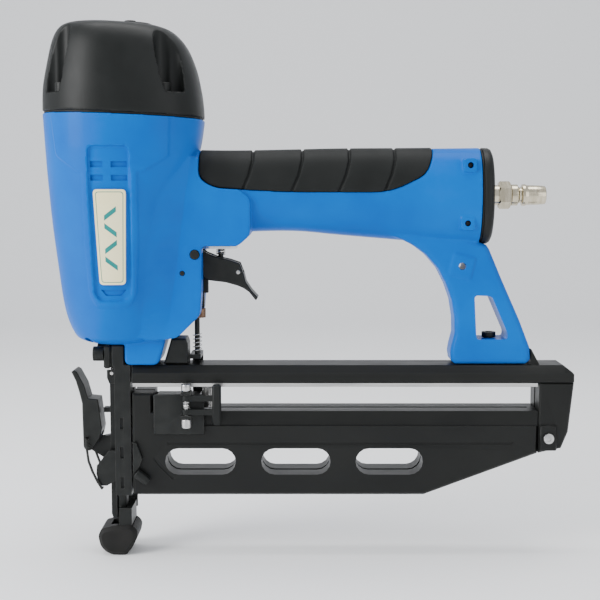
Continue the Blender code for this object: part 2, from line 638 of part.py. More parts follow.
def contact_arm_parts():
    """The safety linkage: pad, lower arm, depth wheel, and the yoke under the trigger's lever."""
    lower = new_object("contact_arm_lower", box(0.9, 5.4, -10.5, -7.5, 10.5, 28.5), STEEL)
    side = 14.6
    add(lower, "leg", box(0.9, 5.4, 7.5, 10.5, 10.5, 28.5))
    add(lower, "bridge", box(5.0, 8.4, -10.5, 10.5, 18.0, 28.5))
    add(lower, "step", box(1.5, 6.5, 9.0, side + 2, 23.0, 28.5))
    add(lower, "riser", box(1.5, 8.5, side, side + 2, 23.0, 96.0))
    add(lower, "run", box(1.5, 50.0, side, side + 2, 86.0, 95.0))
    add(lower, "post", box(43.5, 50.0, side, side + 2, 86.0, 120.9))
    add(lower, "shelf", box(43.5, 50.0, -3.0, side + 2, 118.3, 120.9))
    add(lower, "screw", rod(1.6, (ROD_X, 0, 119.0), (ROD_X, 0, 147.5), 10))
    upper = new_object("contact_arm_upper", box(44.5, 52.4, -2.6, 2.6, 149.0, 151.0), STEEL)
    add(upper, "stem", box(50.4, 52.4, -2.6, 2.6, 149.0, 160.5))
    add(upper, "yoke", box(50.4, 54.8, -2.6, 2.6, 157.9, 167.7))
    low, high = WHEEL_Z
    teeth = 14
    profile = []
    for i in range(2 * teeth):
        t = math.pi * i / teeth
        radius = 5.3 if i % 2 else 4.7
        profile.append((radius * math.cos(t), radius * math.sin(t)))
    rings = [[(x, y, z) for x, y in profile] for z in (low, high)]
    wheel = new_object("depth_wheel", loft(rings), BRASS)
    wheel.location = (ROD_X * MM, 0, 0)
    cut(wheel, "thread", rod(2.0, (ROD_X, 0, low - 1), (ROD_X, 0, high + 1), 10))
    coil("contact_arm_spring", (ROD_X, 0), 2.8, 0.4, 121.2, 133.7, 5, BRIGHT)


def no_mar_pad():
    """Soft pad that slips over the contact arm's legs at the muzzle."""
    sole = [(-12.0, 11.5), (-10.2, 16.0), (-3.4, 17.7), (7.5, 18.6), (10.1, 17.2), (12.0, 14.4)]
    sole += [(11.2, 9.7), (8.1, 3.8), (5.2, 0.4), (3.6, 0.0), (-2.8, 0.0), (-7.5, 2.0), (-10.5, 5.4)]
    item = new_object("no_mar_pad", prism(rounded(sole, 1.5, 2), -13.0, 13.0, edge=2.2), RUBBER)
    cut(item, "tip_room", box(-4.9, 7.0, -6.1, 6.1, 6.5, 30.0))
    cut(item, "leg_rooms", box(0.6, 8.9, -10.8, -7.2, 10.2, 30.0), box(0.6, 8.9, 7.2, 10.8, 10.2, 30.0))
    cut(item, "bridge_room", box(4.7, 8.9, -10.8, 10.8, 15.0, 30.0))
    cut(item, "muzzle", rod(1.4, (0, 0, -5.0), (0, 0, 10.0), 12))


def nose_bolt_hole(sign, start, end):
    """Clearance hole along X for the nose bolt of one side."""
    y = sign * NOSE_BOLT_Y
    return rod(NOSE_BOLT_R + GAP, (start, y, NOSE_BOLT_Z), (end, y, NOSE_BOLT_Z), 10)


def nose_parts():
    """Driver guide with its hinged door, clamp plate and bolts."""
    half = NOSE_HALF
    item = new_object("nose_body", box(-0.7, NOSE_BACK_X, -half, half, 37.0, 115.5), STEEL)
    add(item, "head", soften(box(-2.4, 5.5, -half, half, 114.0, 127.6), 0.8))
    add(item, "tip", soften(box(-0.7, 4.6, -5.0, 5.0, 15.2, 38.0), 0.8))
    cut(item, "driver_channel", box(-0.95, 1.1, -2.0, 2.0, 10.0, 130.0))
    cut(item, "nail_slot", box(1.0, 10.0, -CHANNEL_HALF, CHANNEL_HALF, 37.5, 104.0))
    hook = [(-0.5, 64.0), (-4.5, 64.0), (-12.0, 55.0), (-12.4, 50.0), (-10.6, 42.6), (-6.0, 42.6)]
    hook += [(-0.5, 46.0)]
    ear = [(-0.5, 104.0), (-4.2, 104.0), (-5.6, 107.5), (-5.6, 112.2), (-0.5, 112.2)]
    for sign, side in SIDES:
        add(item, f"hook_{side}", prism(hook, *sorted((sign * 9.3, sign * 11.3))))
        add(item, f"ear_{side}", prism(ear, *sorted((sign * (DOOR_HALF + 0.5), sign * (DOOR_HALF + 2.7)))))
        for level, low in enumerate((41.2, 59.4, 77.1)):
            slot = box(2.3, 4.4, *sorted((sign * 10.4, sign * 13.0)), low, low + 6.9)
            cut(item, f"side_slot_{side}_{level}", slot)
        cut(item, f"bolt_{side}", nose_bolt_hole(sign, -5.0, 8.0))
        bolt = turned(NOSE_BOLT_PROFILE, (0, sign * NOSE_BOLT_Y, NOSE_BOLT_Z), "X", 12)
        new_object(f"nose_bolt_{side}", bolt, STEEL)
    x, z = DOOR_PIVOT
    cut(item, "hinge_hole", cross_hole(DOOR_PIN_R + GAP, x, z, 10.0, 10))
    new_object("door_hinge_pin", cross_hole(DOOR_PIN_R, x, z, 8.6, 10), BRIGHT)
    plate = new_object("nose_clamp_plate", soften(box(-6.9, -2.7, -half, half, 113.6, 127.4), 0.8), STEEL)
    for sign, side in SIDES:
        cut(plate, f"bolt_{side}", nose_bolt_hole(sign, -9.0, 0.0))
    door_side = [(-1.0, 21.1), (-1.0, z)] + arc(x, z, 1.7, 0, 180, 6)[1:] + [(-4.4, 24.0), (-3.4, 21.1)]
    door = new_object("nose_door", prism(door_side, -DOOR_HALF, DOOR_HALF), STEEL, pivot=(x, 0, z))
    bracket = arc(*LATCH_PIVOT, 2.8, 100, 260, 6) + [(-4.0, 55.0), (-4.0, 72.0)]
    add(door, "latch_bracket", prism(bracket, -3.0, 3.0), box(-8.7, -4.0, -2.5, 2.5, 85.6, 88.6))
    cut(door, "hinge_hole", cross_hole(DOOR_PIN_R + GAP, x, z, 10.0, 10))
    cut(door, "latch_hole", cross_hole(LATCH_PIN_R + GAP, *LATCH_PIVOT, half=5.0, segments=10))


def latch_parts():
    """Over-centre latch of the nose door: lever, its pivot pin and the wire bail."""
    x, z = LATCH_PIVOT
    outline = arc(x, z, 3.2, 180, 330, 6) + [(-10.4, 71.0), (-9.2, 76.6), (-11.3, 94.3), (-17.2, 95.0)]
    outline += [(-19.4, 103.0), (-23.6, 111.0), (-25.4, 112.0), (-27.0, 111.0), (-24.4, 105.5)]
    outline += [(-22.4, 98.5), (-20.9, 92.0)]
    lever = new_object("latch_lever", prism(outline, -8.0, 8.0, edge=0.6), STEEL, pivot=(x, 0, z))
    cut(lever, "fork", box(-24.0, -6.0, -3.3, 3.3, 58.0, 74.0))
    cut(lever, "pin_hole", cross_hole(LATCH_PIN_R + GAP, x, z, 10.0, 10))
    cut(lever, "bail_hole", cross_hole(BAIL_R + 0.4, *BAIL_PIVOT, half=10.0, segments=8))
    new_object("latch_pivot_pin", cross_hole(LATCH_PIN_R, x, z, 8.4, 10), STEEL)
    bx, bz = BAIL_PIVOT
    leg = [(bx, bz), (-17.4, 64.0), (-16.6, 58.0), (-14.3, 51.4), (-11.4, 45.4), (-8.9, 41.3)]
    side = NOSE_HALF + 0.6
    near = [(lx, -side, lz) for lx, lz in leg]
    far = [(lx, side, lz) for lx, lz in leg]
    path = [(-8.9, 9.8, 41.3)] + far[::-1] + near + [(-8.9, -9.8, 41.3)]
    wire("latch_bail", path, BAIL_R, STEEL, pivot=(bx, 0, bz))


def rail_ring(x, top):
    """Section of the top rail, with a sloping shoulder on both sides."""
    shoulder = min(111.2, top - 0.5)
    return [
        (x, -MAG_HALF, RAIL_BOTTOM_Z), (x, MAG_HALF, RAIL_BOTTOM_Z), (x, MAG_HALF, shoulder),
        (x, 10.5, top), (x, -10.5, top), (x, -MAG_HALF, shoulder),
    ]


def magazine_parts():
    """Top rail, steel strip, channelled lower body and the block that closes the rear."""
    stations = [(MAG_FRONT_X, RAIL_TOP_Z), (266.0, RAIL_TOP_Z), (MAG_END_X, 111.0)]
    item = new_object("magazine_top_rail", loft([rail_ring(x, top) for x, top in stations]), BLACK)
    cut(item, "head_groove", box(MAG_FRONT_X - 1, MAG_REAR_X, -2.0, 2.0, RAIL_BOTTOM_Z - 1, 108.4))
    cut(item, "strut_bolt", rod(STRUT_BOLT_R + 0.4, (STRUT_BOLT_X, 0, 109.5), (STRUT_BOLT_X, 0, 120.0), 10))
    lug = [(247.2, RAIL_TOP_Z - 1), (252.8, RAIL_TOP_Z - 1), (247.2, 125.0)]
    add(item, "rear_lug", prism(lug, -9.0, 9.0))
    half = MAG_HALF - GAP
    bar = box(MAG_FRONT_X + 0.5, 250.5, -half, half, 103.0, RAIL_BOTTOM_Z - GAP)
    strip = new_object("rail_strip", bar, BRIGHT)
    cut(strip, "nail_way", box(5.0, 247.0, -2.0, 2.0, 100.0, 108.0))

    side = [(MAG_FRONT_X, LOWER_BOTTOM_Z), (183.5, LOWER_BOTTOM_Z), (250.8, 63.0)]
    side += [(MAG_REAR_X - GAP, LOWER_TOP_Z), (22.0, LOWER_TOP_Z), (22.0, 99.0), (MAG_FRONT_X, 99.0)]
    lower = new_object("magazine_lower_body", prism(side, -MAG_HALF, MAG_HALF, edge=1.2), BLACK)
    channel = [(5.0, 40.0), (182.9, 40.0), (247.0, 63.6), (247.0, 101.0), (5.0, 101.0)]
    cut(lower, "nail_channel", prism(channel, -CHANNEL_HALF, CHANNEL_HALF))
    cut(lower, "pusher_recess", box(23.5, 260.0, -20.0, -12.3, 79.5, 90.0))
    middle = (SIDE_SLOT_Z[0] + SIDE_SLOT_Z[1]) / 2
    radius = (SIDE_SLOT_Z[1] - SIDE_SLOT_Z[0]) / 2
    for index, (x0, x1) in enumerate(SIDE_SLOTS):
        right = arc(x1 - radius, middle, radius, -90, 90, 8)
        left = arc(x0 + radius, middle, radius, 90, 270, 8)
        cut(lower, f"window_{index}", prism(right + left, -20.0, 20.0))

    rear = [(MAG_REAR_X, 63.2), (265.0, 66.0), (269.0, 76.0), (MAG_END_X, RAIL_BOTTOM_Z - GAP),
            (MAG_REAR_X, RAIL_BOTTOM_Z - GAP)]
    block_item = new_object("magazine_rear_block", prism(rear, -MAG_HALF, MAG_HALF, edge=1.0), BLACK)
    add(block_item, "pad", soften(box(252.0, 262.0, -15.8, -13.0, 64.8, 80.0), 0.6))
    cut(block_item, "loading_slot", box(248.0, 280.0, -1.6, 1.6, 68.0, 103.0))
    x, z = END_SCREW
    cut(block_item, "screw_hole", rod(1.9, (x, -20.0, z), (x, -6.0, z), 10))
    screw = [(0, -9.0), (1.6, -9.0), (1.6, -16.1), (3.3, -16.1), (2.9, -17.6), (0, -17.6)]
    new_object("magazine_end_screw", turned(screw, (x, 0, z), "Y", 14), BRIGHT)

    foot_z = RAIL_TOP_Z + GAP
    bracket = [(28.4, foot_z), (42.8, foot_z), (42.8, 128.0), (41.6, 131.2), (33.0, 131.2)]
    new_object("magazine_front_bracket", prism(bracket, -9.0, 9.0, edge=0.8), STEEL)
    bolt = [
        (0, 110.0), (STRUT_BOLT_R, 110.0), (STRUT_BOLT_R, 131.2), (4.2, 131.2),
        (4.2, 134.4), (2.1, 134.4), (2.1, 132.6), (0, 132.6),
    ]
    new_object("strut_bolt", turned(bolt, (STRUT_BOLT_X, 0, 0), segments=12), STEEL)


def pusher_parts():
    """Nail pusher on the magazine's side, with its pull tab hinged on an upright pin."""
    x, y = PAWL_PIVOT
    plate = soften(box(23.0, 53.0, -17.2, -MAG_HALF - 0.4, 75.0, 98.8), 0.5)
    body = new_object("pusher_body", plate, STEEL)
    add(body, "window_block", box(24.5, 50.0, -15.5, 1.0, 89.0, 98.0))
    add(body, "blade", box(9.2, 50.0, -1.0, 1.0, 67.0, 90.0))
    add(body, "riser", box(x - 3.0, x + 3.0, -17.0, -MAG_HALF - 0.6, 97.0, 101.4))
    for label, z in (("low", 85.4), ("high", 99.5)):
        add(body, f"lug_{label}", box(x - 3.0, x + 3.0, y - 2.6, -15.5, z, z + 1.9))
        cut(body, f"lug_hole_{label}", rod(1.6, (x, y, z - 1), (x, y, z + 3), 10))
    pin = [
        (0, 79.8), (2.6, 79.8), (3.0, 80.3), (3.0, 84.6), (2.6, 85.1), (1.2, 85.1),
        (1.2, 101.7), (2.6, 101.7), (3.0, 102.2), (3.0, 105.3), (2.6, 105.8), (0, 105.8),
    ]
    new_object("pusher_hinge_pin", turned(pin, (x, y, 0), segments=14), BRIGHT)
    tab = soften(box(58.0, 63.4, y - 2.8, y + 0.6, 81.3, 105.8), 1.2)
    pawl = new_object("pusher_tab", tab, BLACK, pivot=(x, y, 0))
    for label, z0, z1 in (("low", 87.6, 91.0), ("high", 95.8, 99.2)):
        add(pawl, f"bar_{label}", box(x, 59.0, y - 2.0, y + 0.4, z0, z1))
        add(pawl, f"knuckle_{label}", rod(2.6, (x, y, z0), (x, y, z1), 12))
        cut(pawl, f"hole_{label}", rod(1.5, (x, y, z0 - 0.2), (x, y, z1 + 0.2), 10))
    coil("pusher_tab_spring", (x, y), 1.9, 0.3, 91.2, 95.6, 4, BRIGHT)
    roll = turned([(1.6, 90.0), (4.4, 90.0), (4.4, 101.5), (1.6, 101.5)], (55.6, -5.0, 0), segments=18)
    new_object("pusher_roll_spring", roll, BRIGHT)


def small_parts():
    """Badge on the barrel, and the lock screw with its bracket beside the nose."""
    columns = [-6.0 + 16.5 * i / 4 for i in range(5)]
    rows = [165.2 + 54.4 * i / 3 for i in range(4)]
    rings = []
    for z in rows:
        outer = [(x, -barrel_half_width(x, z) - 1.5, z) for x in columns]
        inner = [(x, -barrel_half_width(x, z) - 0.5, z) for x in reversed(columns)]
        rings.append(outer + inner)
    new_object("badge_plate", loft(rings), CREAM)
    bracket = [(10.6, 50.5), (13.8, 54.5), (16.0, 60.0), (12.5, 70.0), (10.6, 70.0)]
    new_object("nose_lock_bracket", prism(bracket, -17.0, -MAG_HALF - GAP), STEEL)
    way = (0.79, 0.0, -0.61)
    centre = Vector((15.9, -18.0, 49.4))
    knob = turned([(0, -4.5), (2.4, -4.5), (2.8, -4.0), (2.8, 4.0), (2.4, 4.5), (0, 4.5)], centre, way, 14)
    new_object("nose_lock_screw", knob, STEEL)


def build():
    clear_scene()
    main_housing()
    handle_grip()
    end_cap()
    air_plug()
    exhaust_cap()
    cap_gasket()
    exhaust_deflector()
    driver_parts()
    valve_parts()
    trigger_parts()
    contact_arm_parts()
    no_mar_pad()
    nose_parts()
    latch_parts()
    magazine_parts()
    pusher_parts()
    small_parts()


build()
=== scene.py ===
"""Looks of the pneumatic nail gun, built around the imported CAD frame. Lengths are in millimetres until MM."""
import json
import math

import bmesh
import bpy
from mathutils import Matrix, Vector


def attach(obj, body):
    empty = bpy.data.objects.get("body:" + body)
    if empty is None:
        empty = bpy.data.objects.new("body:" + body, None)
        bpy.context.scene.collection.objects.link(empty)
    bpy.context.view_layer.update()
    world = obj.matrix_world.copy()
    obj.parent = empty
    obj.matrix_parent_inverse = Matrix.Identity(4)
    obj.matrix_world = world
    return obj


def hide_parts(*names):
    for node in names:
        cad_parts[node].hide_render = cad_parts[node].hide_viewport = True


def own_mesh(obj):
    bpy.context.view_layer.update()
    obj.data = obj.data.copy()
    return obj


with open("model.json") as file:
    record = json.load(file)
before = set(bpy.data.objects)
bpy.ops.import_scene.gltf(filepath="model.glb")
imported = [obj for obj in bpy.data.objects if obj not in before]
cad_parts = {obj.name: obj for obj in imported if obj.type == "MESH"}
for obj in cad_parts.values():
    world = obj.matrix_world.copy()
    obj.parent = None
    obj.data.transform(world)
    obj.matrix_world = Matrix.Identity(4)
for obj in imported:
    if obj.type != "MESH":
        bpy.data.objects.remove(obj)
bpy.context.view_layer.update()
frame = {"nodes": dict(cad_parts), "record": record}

MM = 0.001
WELD = 0.002
FLAT_ANGLE = math.radians(1.0)
RECORD = frame["record"]
BODY = {node: body for body, nodes in RECORD["behaviour"]["bodies"].items() for node in nodes}
SLOT = {row["node"]: row["material_slot"] for row in RECORD["subparts"]}


# ---------------------------------------------------------------- camera, light and floor

def add_camera():
    data = bpy.data.cameras.new("camera")
    data.lens = 70.0
    data.sensor_width = 36.0
    camera = bpy.data.objects.new("camera", data)
    place = Vector((0.1096, -0.6968, 0.2205))
    target = Vector((0.1096, 0.0, 0.1534))
    camera.location = place
    camera.rotation_euler = (target - place).to_track_quat("-Z", "Y").to_euler()
    bpy.context.scene.collection.objects.link(camera)
    bpy.context.scene.camera = camera


def area_light(name, place, target, size, power):
    data = bpy.data.lights.new(name, "AREA")
    data.shape = "RECTANGLE"
    data.size, data.size_y = size
    data.energy = power
    light = bpy.data.objects.new(name, data)
    light.location = place
    light.rotation_euler = (Vector(target) - Vector(place)).to_track_quat("-Z", "Y").to_euler()
    bpy.context.scene.collection.objects.link(light)


def add_studio():
    world = bpy.data.worlds.new("studio")
    world.use_nodes = True
    world.node_tree.nodes["Background"].inputs["Color"].default_value = (0.92, 0.95, 1.0, 1.0)
    world.node_tree.nodes["Background"].inputs["Strength"].default_value = 0.9
    bpy.context.scene.world = world
    middle = (0.1, 0.0, 0.16)
    area_light("key", (-0.8, -0.55, 0.55), middle, (0.5, 0.8), 14.0)
    area_light("fill", (0.9, -0.8, 0.35), middle, (0.7, 0.9), 3.5)
    area_light("top", (0.1, 0.05, 1.1), middle, (0.9, 0.5), 8.0)
    mesh = bmesh.new()
    reach, height = 3.0, 3.0
    bend = [(-reach, 0.0)] + [(1.2 + 0.6 * math.sin(t), 0.6 - 0.6 * math.cos(t))
                              for t in (math.pi / 2 * i / 12 for i in range(13))] + [(1.8, height)]
    rows = [[mesh.verts.new((x, y, z)) for x in (-reach, reach)] for y, z in bend]
    for low, high in zip(rows, rows[1:]):
        mesh.faces.new((low[0], low[1], high[1], high[0]))
    data = bpy.data.meshes.new("floor")
    mesh.to_mesh(data)
    mesh.free()
    data.shade_smooth()
    floor = bpy.data.objects.new("floor", data)
    bpy.context.scene.collection.objects.link(floor)
    paper = bpy.data.materials.new("paper")
    paper.use_nodes = True
    shader = paper.node_tree.nodes["Principled BSDF"]
    shader.inputs["Base Color"].default_value = (0.95, 0.95, 0.95, 1.0)
    shader.inputs["Roughness"].default_value = 0.9
    data.materials.append(paper)


# ---------------------------------------------------------------- materials

def surface(name, dark, light, roughness, metallic=0.0, mottle=60.0, grain=900.0, bump=0.15, depth=0.05,
            coat=0.0, stretch=(1.0, 1.0, 1.0), wear_and_highlight=None, specular=0.5):
    """A procedural material: mottled colour and roughness, fine surface grain, and optional lightened edges: a
    painted highlight on the blue paint, part rubbed wear and part painted highlight on the dark metals.
    """
    mat = bpy.data.materials.new(name)
    mat.use_nodes = True
    nodes, links = mat.node_tree.nodes, mat.node_tree.links
    shader = nodes["Principled BSDF"]
    shader.inputs["Metallic"].default_value = metallic
    shader.inputs["Coat Weight"].default_value = coat
    shader.inputs["Coat Roughness"].default_value = 0.12
    shader.inputs["Specular IOR Level"].default_value = specular
    coords = nodes.new("ShaderNodeTexCoord")
    mapping = nodes.new("ShaderNodeMapping")
    mapping.inputs["Scale"].default_value = stretch
    links.new(coords.outputs["Object"], mapping.inputs["Vector"])

    def noise(scale, detail):
        node = nodes.new("ShaderNodeTexNoise")
        node.inputs["Scale"].default_value = scale
        node.inputs["Detail"].default_value = detail
        links.new(mapping.outputs["Vector"], node.inputs["Vector"])
        return node.outputs["Fac"]

    ramp = nodes.new("ShaderNodeValToRGB")
    ramp.color_ramp.elements[0].position = 0.32
    ramp.color_ramp.elements[0].color = (*dark, 1.0)
    ramp.color_ramp.elements[1].position = 0.68
    ramp.color_ramp.elements[1].color = (*light, 1.0)
    links.new(noise(mottle, 4.0), ramp.inputs["Fac"])
    colour = ramp.outputs["Color"]
    # Edges found from the bevel normal take a lighter colour: a painted edge highlight, mixed with rubbed wear on
    # the dark metals.
    if wear_and_highlight:
        wear_and_highlight_colour, amount = wear_and_highlight
        geometry = nodes.new("ShaderNodeNewGeometry")
        bevel = nodes.new("ShaderNodeBevel")
        bevel.inputs["Radius"].default_value = 0.45 * MM
        turn = nodes.new("ShaderNodeVectorMath")
        turn.operation = "DOT_PRODUCT"
        links.new(bevel.outputs["Normal"], turn.inputs[0])
        links.new(geometry.outputs["Normal"], turn.inputs[1])
        edge = nodes.new("ShaderNodeMapRange")
        edge.inputs["From Min"].default_value = 0.995
        edge.inputs["From Max"].default_value = 0.90
        edge.inputs["To Min"].default_value = 0.0
        edge.inputs["To Max"].default_value = amount
        links.new(turn.outputs["Value"], edge.inputs["Value"])
        broken = nodes.new("ShaderNodeMath")
        broken.operation = "MULTIPLY"
        links.new(edge.outputs["Result"], broken.inputs[0])
        links.new(noise(220.0, 5.0), broken.inputs[1])
        mix = nodes.new("ShaderNodeMix")
        mix.data_type = "RGBA"
        links.new(broken.outputs[0], mix.inputs[0])
        links.new(colour, mix.inputs[6])
        mix.inputs[7].default_value = (*wear_and_highlight_colour, 1.0)
        colour = mix.outputs[2]
    links.new(colour, shader.inputs["Base Color"])
    spread = nodes.new("ShaderNodeMapRange")
    spread.inputs["To Min"].default_value = roughness - 0.06
    spread.inputs["To Max"].default_value = roughness + 0.08
    links.new(noise(mottle * 4.0, 5.0), spread.inputs["Value"])
    links.new(spread.outputs["Result"], shader.inputs["Roughness"])
    relief = nodes.new("ShaderNodeBump")
    relief.inputs["Strength"].default_value = bump
    relief.inputs["Distance"].default_value = depth * MM
    links.new(noise(grain, 3.0), relief.inputs["Height"])
    links.new(relief.outputs["Normal"], shader.inputs["Normal"])
    return mat


# The paint's edges are lightened to a brighter blue: a painted highlight along the edges.
PAINT = surface("blue_paint", (0.0, 0.09, 0.41), (0.0, 0.115, 0.48), 0.33, mottle=25.0, grain=1400.0,
                bump=0.12, depth=0.04, coat=0.02, wear_and_highlight=((0.01, 0.22, 0.66), 0.6), specular=0.05)
CAP_PLASTIC = surface("cap_plastic", (0.0045, 0.0055, 0.005), (0.008, 0.009, 0.0085), 0.44, mottle=40.0,
                      grain=2600.0, bump=0.35, depth=0.05, specular=0.22)
RUBBER = surface("grip_rubber", (0.0045, 0.0055, 0.005), (0.0085, 0.0095, 0.009), 0.6, mottle=50.0,
                 grain=1800.0, bump=0.5, depth=0.06, specular=0.2)
PAD_RUBBER = surface("pad_rubber", (0.005, 0.005, 0.0045), (0.011, 0.0105, 0.0095), 0.55, mottle=90.0,
                     grain=700.0, bump=0.4, depth=0.12, specular=0.22)
# Edges of the black steel and the magazine turn a lighter grey: part rubbed wear, part painted highlight.
BLACK_STEEL = surface("phosphated_steel", (0.006, 0.007, 0.0065), (0.012, 0.013, 0.012), 0.40, metallic=0.15,
                      mottle=140.0, grain=2200.0, bump=0.3, depth=0.04, wear_and_highlight=((0.09, 0.09, 0.085), 1.0),
                      specular=0.25)
MAGAZINE_BLACK = surface("magazine_black", (0.0035, 0.004, 0.0036), (0.007, 0.0075, 0.0066), 0.40, mottle=30.0,
                         grain=2400.0, bump=0.3, depth=0.04, stretch=(0.5, 1.0, 1.0),
                         wear_and_highlight=((0.03, 0.031, 0.029), 0.8), specular=0.22)
BRIGHT_STEEL = surface("brushed_steel", (0.40, 0.40, 0.40), (0.58, 0.57, 0.55), 0.30, metallic=1.0,
                       mottle=200.0, grain=900.0, bump=0.2, depth=0.03, stretch=(0.15, 2.0, 2.0))
ALUMINIUM = surface("machined_aluminium", (0.62, 0.63, 0.65), (0.76, 0.77, 0.78), 0.32, metallic=1.0,
                    grain=900.0, stretch=(1.0, 1.0, 4.0))
NICKEL = surface("plug_nickel", (0.44, 0.39, 0.28), (0.62, 0.56, 0.43), 0.2, metallic=1.0, mottle=180.0,
                 grain=1200.0, bump=0.08, depth=0.02, stretch=(3.0, 0.4, 0.4))
BRASS = surface("aged_brass", (0.10, 0.055, 0.035), (0.24, 0.15, 0.10), 0.38, metallic=0.9, mottle=260.0,
                bump=0.2, depth=0.04)
BADGE = surface("badge_face", (0.83, 0.76, 0.42), (0.88, 0.83, 0.55), 0.28, mottle=12.0, grain=600.0,
                bump=0.03, depth=0.02, coat=0.4, specular=0.3)
TEAL = surface("badge_print", (0.002, 0.17, 0.16), (0.004, 0.22, 0.21), 0.35, mottle=80.0, grain=900.0,
               bump=0.03, depth=0.01, coat=0.2, specular=0.2)
SLOT_MATERIAL = {
    "blue_paint": PAINT, "black_plastic": CAP_PLASTIC, "soft_rubber": PAD_RUBBER, "black_steel": BLACK_STEEL,
    "bright_steel": BRIGHT_STEEL, "bare_aluminium": ALUMINIUM, "nickel_plate": NICKEL, "brass": BRASS,
    "badge": BADGE,
}


# ---------------------------------------------------------------- mesh helpers

def make_object(name, mesh, mat=None, angle=40.0):
    """A bmesh in millimetres becomes an object in metres."""
    bmesh.ops.scale(mesh, verts=mesh.verts, vec=(MM, MM, MM))
    bmesh.ops.recalc_face_normals(mesh, faces=mesh.faces)
    data = bpy.data.meshes.new(name)
    mesh.to_mesh(data)
    mesh.free()
    if mat:
        data.materials.append(mat)
    data.shade_smooth()
    data.set_sharp_from_angle(angle=math.radians(angle))
    item = bpy.data.objects.new(name, data)
    bpy.context.scene.collection.objects.link(item)
    return item


def stand_for(item, node, *more):
    """The new piece rides on the node's body, and stands for that node and any others given."""
    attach(item, BODY[node])
    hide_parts(node, *more)
    return item


def apply_modifiers(item):
    graph = bpy.context.evaluated_depsgraph_get()
    data = bpy.data.meshes.new_from_object(item.evaluated_get(graph))
    item.modifiers.clear()
    old = item.data
    item.data = data
    data.name = item.name
    bpy.data.meshes.remove(old)


def boolean(item, operation, shapes):
    """Combine the item with each shape at once, and remove the shapes."""
    for shape in shapes:
        other = make_object("shape", shape)
        step = item.modifiers.new("step", "BOOLEAN")
        step.operation = operation
        step.solver = "EXACT"
        step.object = other
        bpy.context.view_layer.update()
        apply_modifiers(item)
        bpy.data.objects.remove(other, do_unlink=True)


def shell_outside(core, region):
    """The part of a region that lies outside a core shape, as a bmesh in millimetres."""
    item = make_object("region", region)
    boolean(item, "DIFFERENCE", [core])
    shell = bmesh.new()
    shell.from_mesh(item.data)
    bmesh.ops.scale(shell, verts=shell.verts, vec=(1 / MM, 1 / MM, 1 / MM))
    bpy.data.objects.remove(item, do_unlink=True)
    return shell


def melt(item, voxel, passes, factor=0.5):
    """Merge overlapping solids into one skin with soft casting radii."""
    remesh = item.modifiers.new("remesh", "REMESH")
    remesh.mode = "VOXEL"
    remesh.voxel_size = voxel * MM
    remesh.use_smooth_shade = True
    smooth = item.modifiers.new("smooth", "SMOOTH")
    smooth.iterations = passes
    smooth.factor = factor
    bpy.context.view_layer.update()
    apply_modifiers(item)
    item.data.shade_smooth()


def box(x0, x1, y0, y1, z0, z1):
    mesh = bmesh.new()
    bmesh.ops.create_cube(mesh, size=1.0)
    bmesh.ops.scale(mesh, verts=mesh.verts, vec=(x1 - x0, y1 - y0, z1 - z0))
    bmesh.ops.translate(mesh, verts=mesh.verts, vec=((x0 + x1) / 2, (y0 + y1) / 2, (z0 + z1) / 2))
    return mesh


def prism(outline, y0, y1):
    mesh = bmesh.new()
    face = mesh.faces.new([mesh.verts.new((x, y0, z)) for x, z in outline])
    grown = bmesh.ops.extrude_face_region(mesh, geom=[face])
    moved = [v for v in grown["geom"] if isinstance(v, bmesh.types.BMVert)]
    bmesh.ops.translate(mesh, verts=moved, vec=(0, y1 - y0, 0))
    bmesh.ops.recalc_face_normals(mesh, faces=mesh.faces)
    return mesh


def loft(rings):
    mesh = bmesh.new()
    rows = [[mesh.verts.new(point) for point in ring] for ring in rings]
    for low, high in zip(rows, rows[1:]):
        for i in range(len(low)):
            j = (i + 1) % len(low)
            mesh.faces.new((low[i], low[j], high[j], high[i]))
    mesh.faces.new(list(reversed(rows[0])))
    mesh.faces.new(rows[-1])
    bmesh.ops.recalc_face_normals(mesh, faces=mesh.faces)
    return mesh


def turned(profile, centre=(0, 0, 0), axis=(0, 0, 1), segments=64):
    """Spin a closed profile of (radius, height) points about an axis."""
    mesh = bmesh.new()
    rows = []
    for i in range(segments):
        t = 2 * math.pi * i / segments
        rows.append([mesh.verts.new((r * math.cos(t), r * math.sin(t), h)) for r, h in profile])
    for i in range(segments):
        here, there = rows[i], rows[(i + 1) % segments]
        for a in range(len(profile)):
            b = (a + 1) % len(profile)
            mesh.faces.new((here[a], there[a], there[b], here[b]))
    bmesh.ops.remove_doubles(mesh, verts=mesh.verts, dist=1e-4)
    bmesh.ops.dissolve_degenerate(mesh, edges=mesh.edges, dist=1e-5)
    spin = Vector((0, 0, 1)).rotation_difference(Vector(axis).normalized()).to_matrix().to_4x4()
    bmesh.ops.transform(mesh, matrix=Matrix.Translation(centre) @ spin, verts=mesh.verts)
    bmesh.ops.recalc_face_normals(mesh, faces=mesh.faces)
    return mesh


def rod(radius, start, end, segments=32):
    length = (Vector(end) - Vector(start)).length
    profile = [(0, 0), (radius, 0), (radius, length), (0, length)]
    return turned(profile, start, Vector(end) - Vector(start), segments)


def rounded(points, radius, steps=6):
    """Round each corner of a closed outline."""
    outline = []
    for index, corner in enumerate(points):
        here = Vector(corner)
        before = Vector(points[index - 1]) - here
        after = Vector(points[(index + 1) % len(points)]) - here
        reach = min(radius, before.length * 0.45, after.length * 0.45)
        first = here + before.normalized() * reach
        last = here + after.normalized() * reach
        for i in range(steps + 1):
            t = i / steps
            point = first * (1 - t) ** 2 + here * 2 * t * (1 - t) + last * t ** 2
            outline.append((point.x, point.y))
    return outline


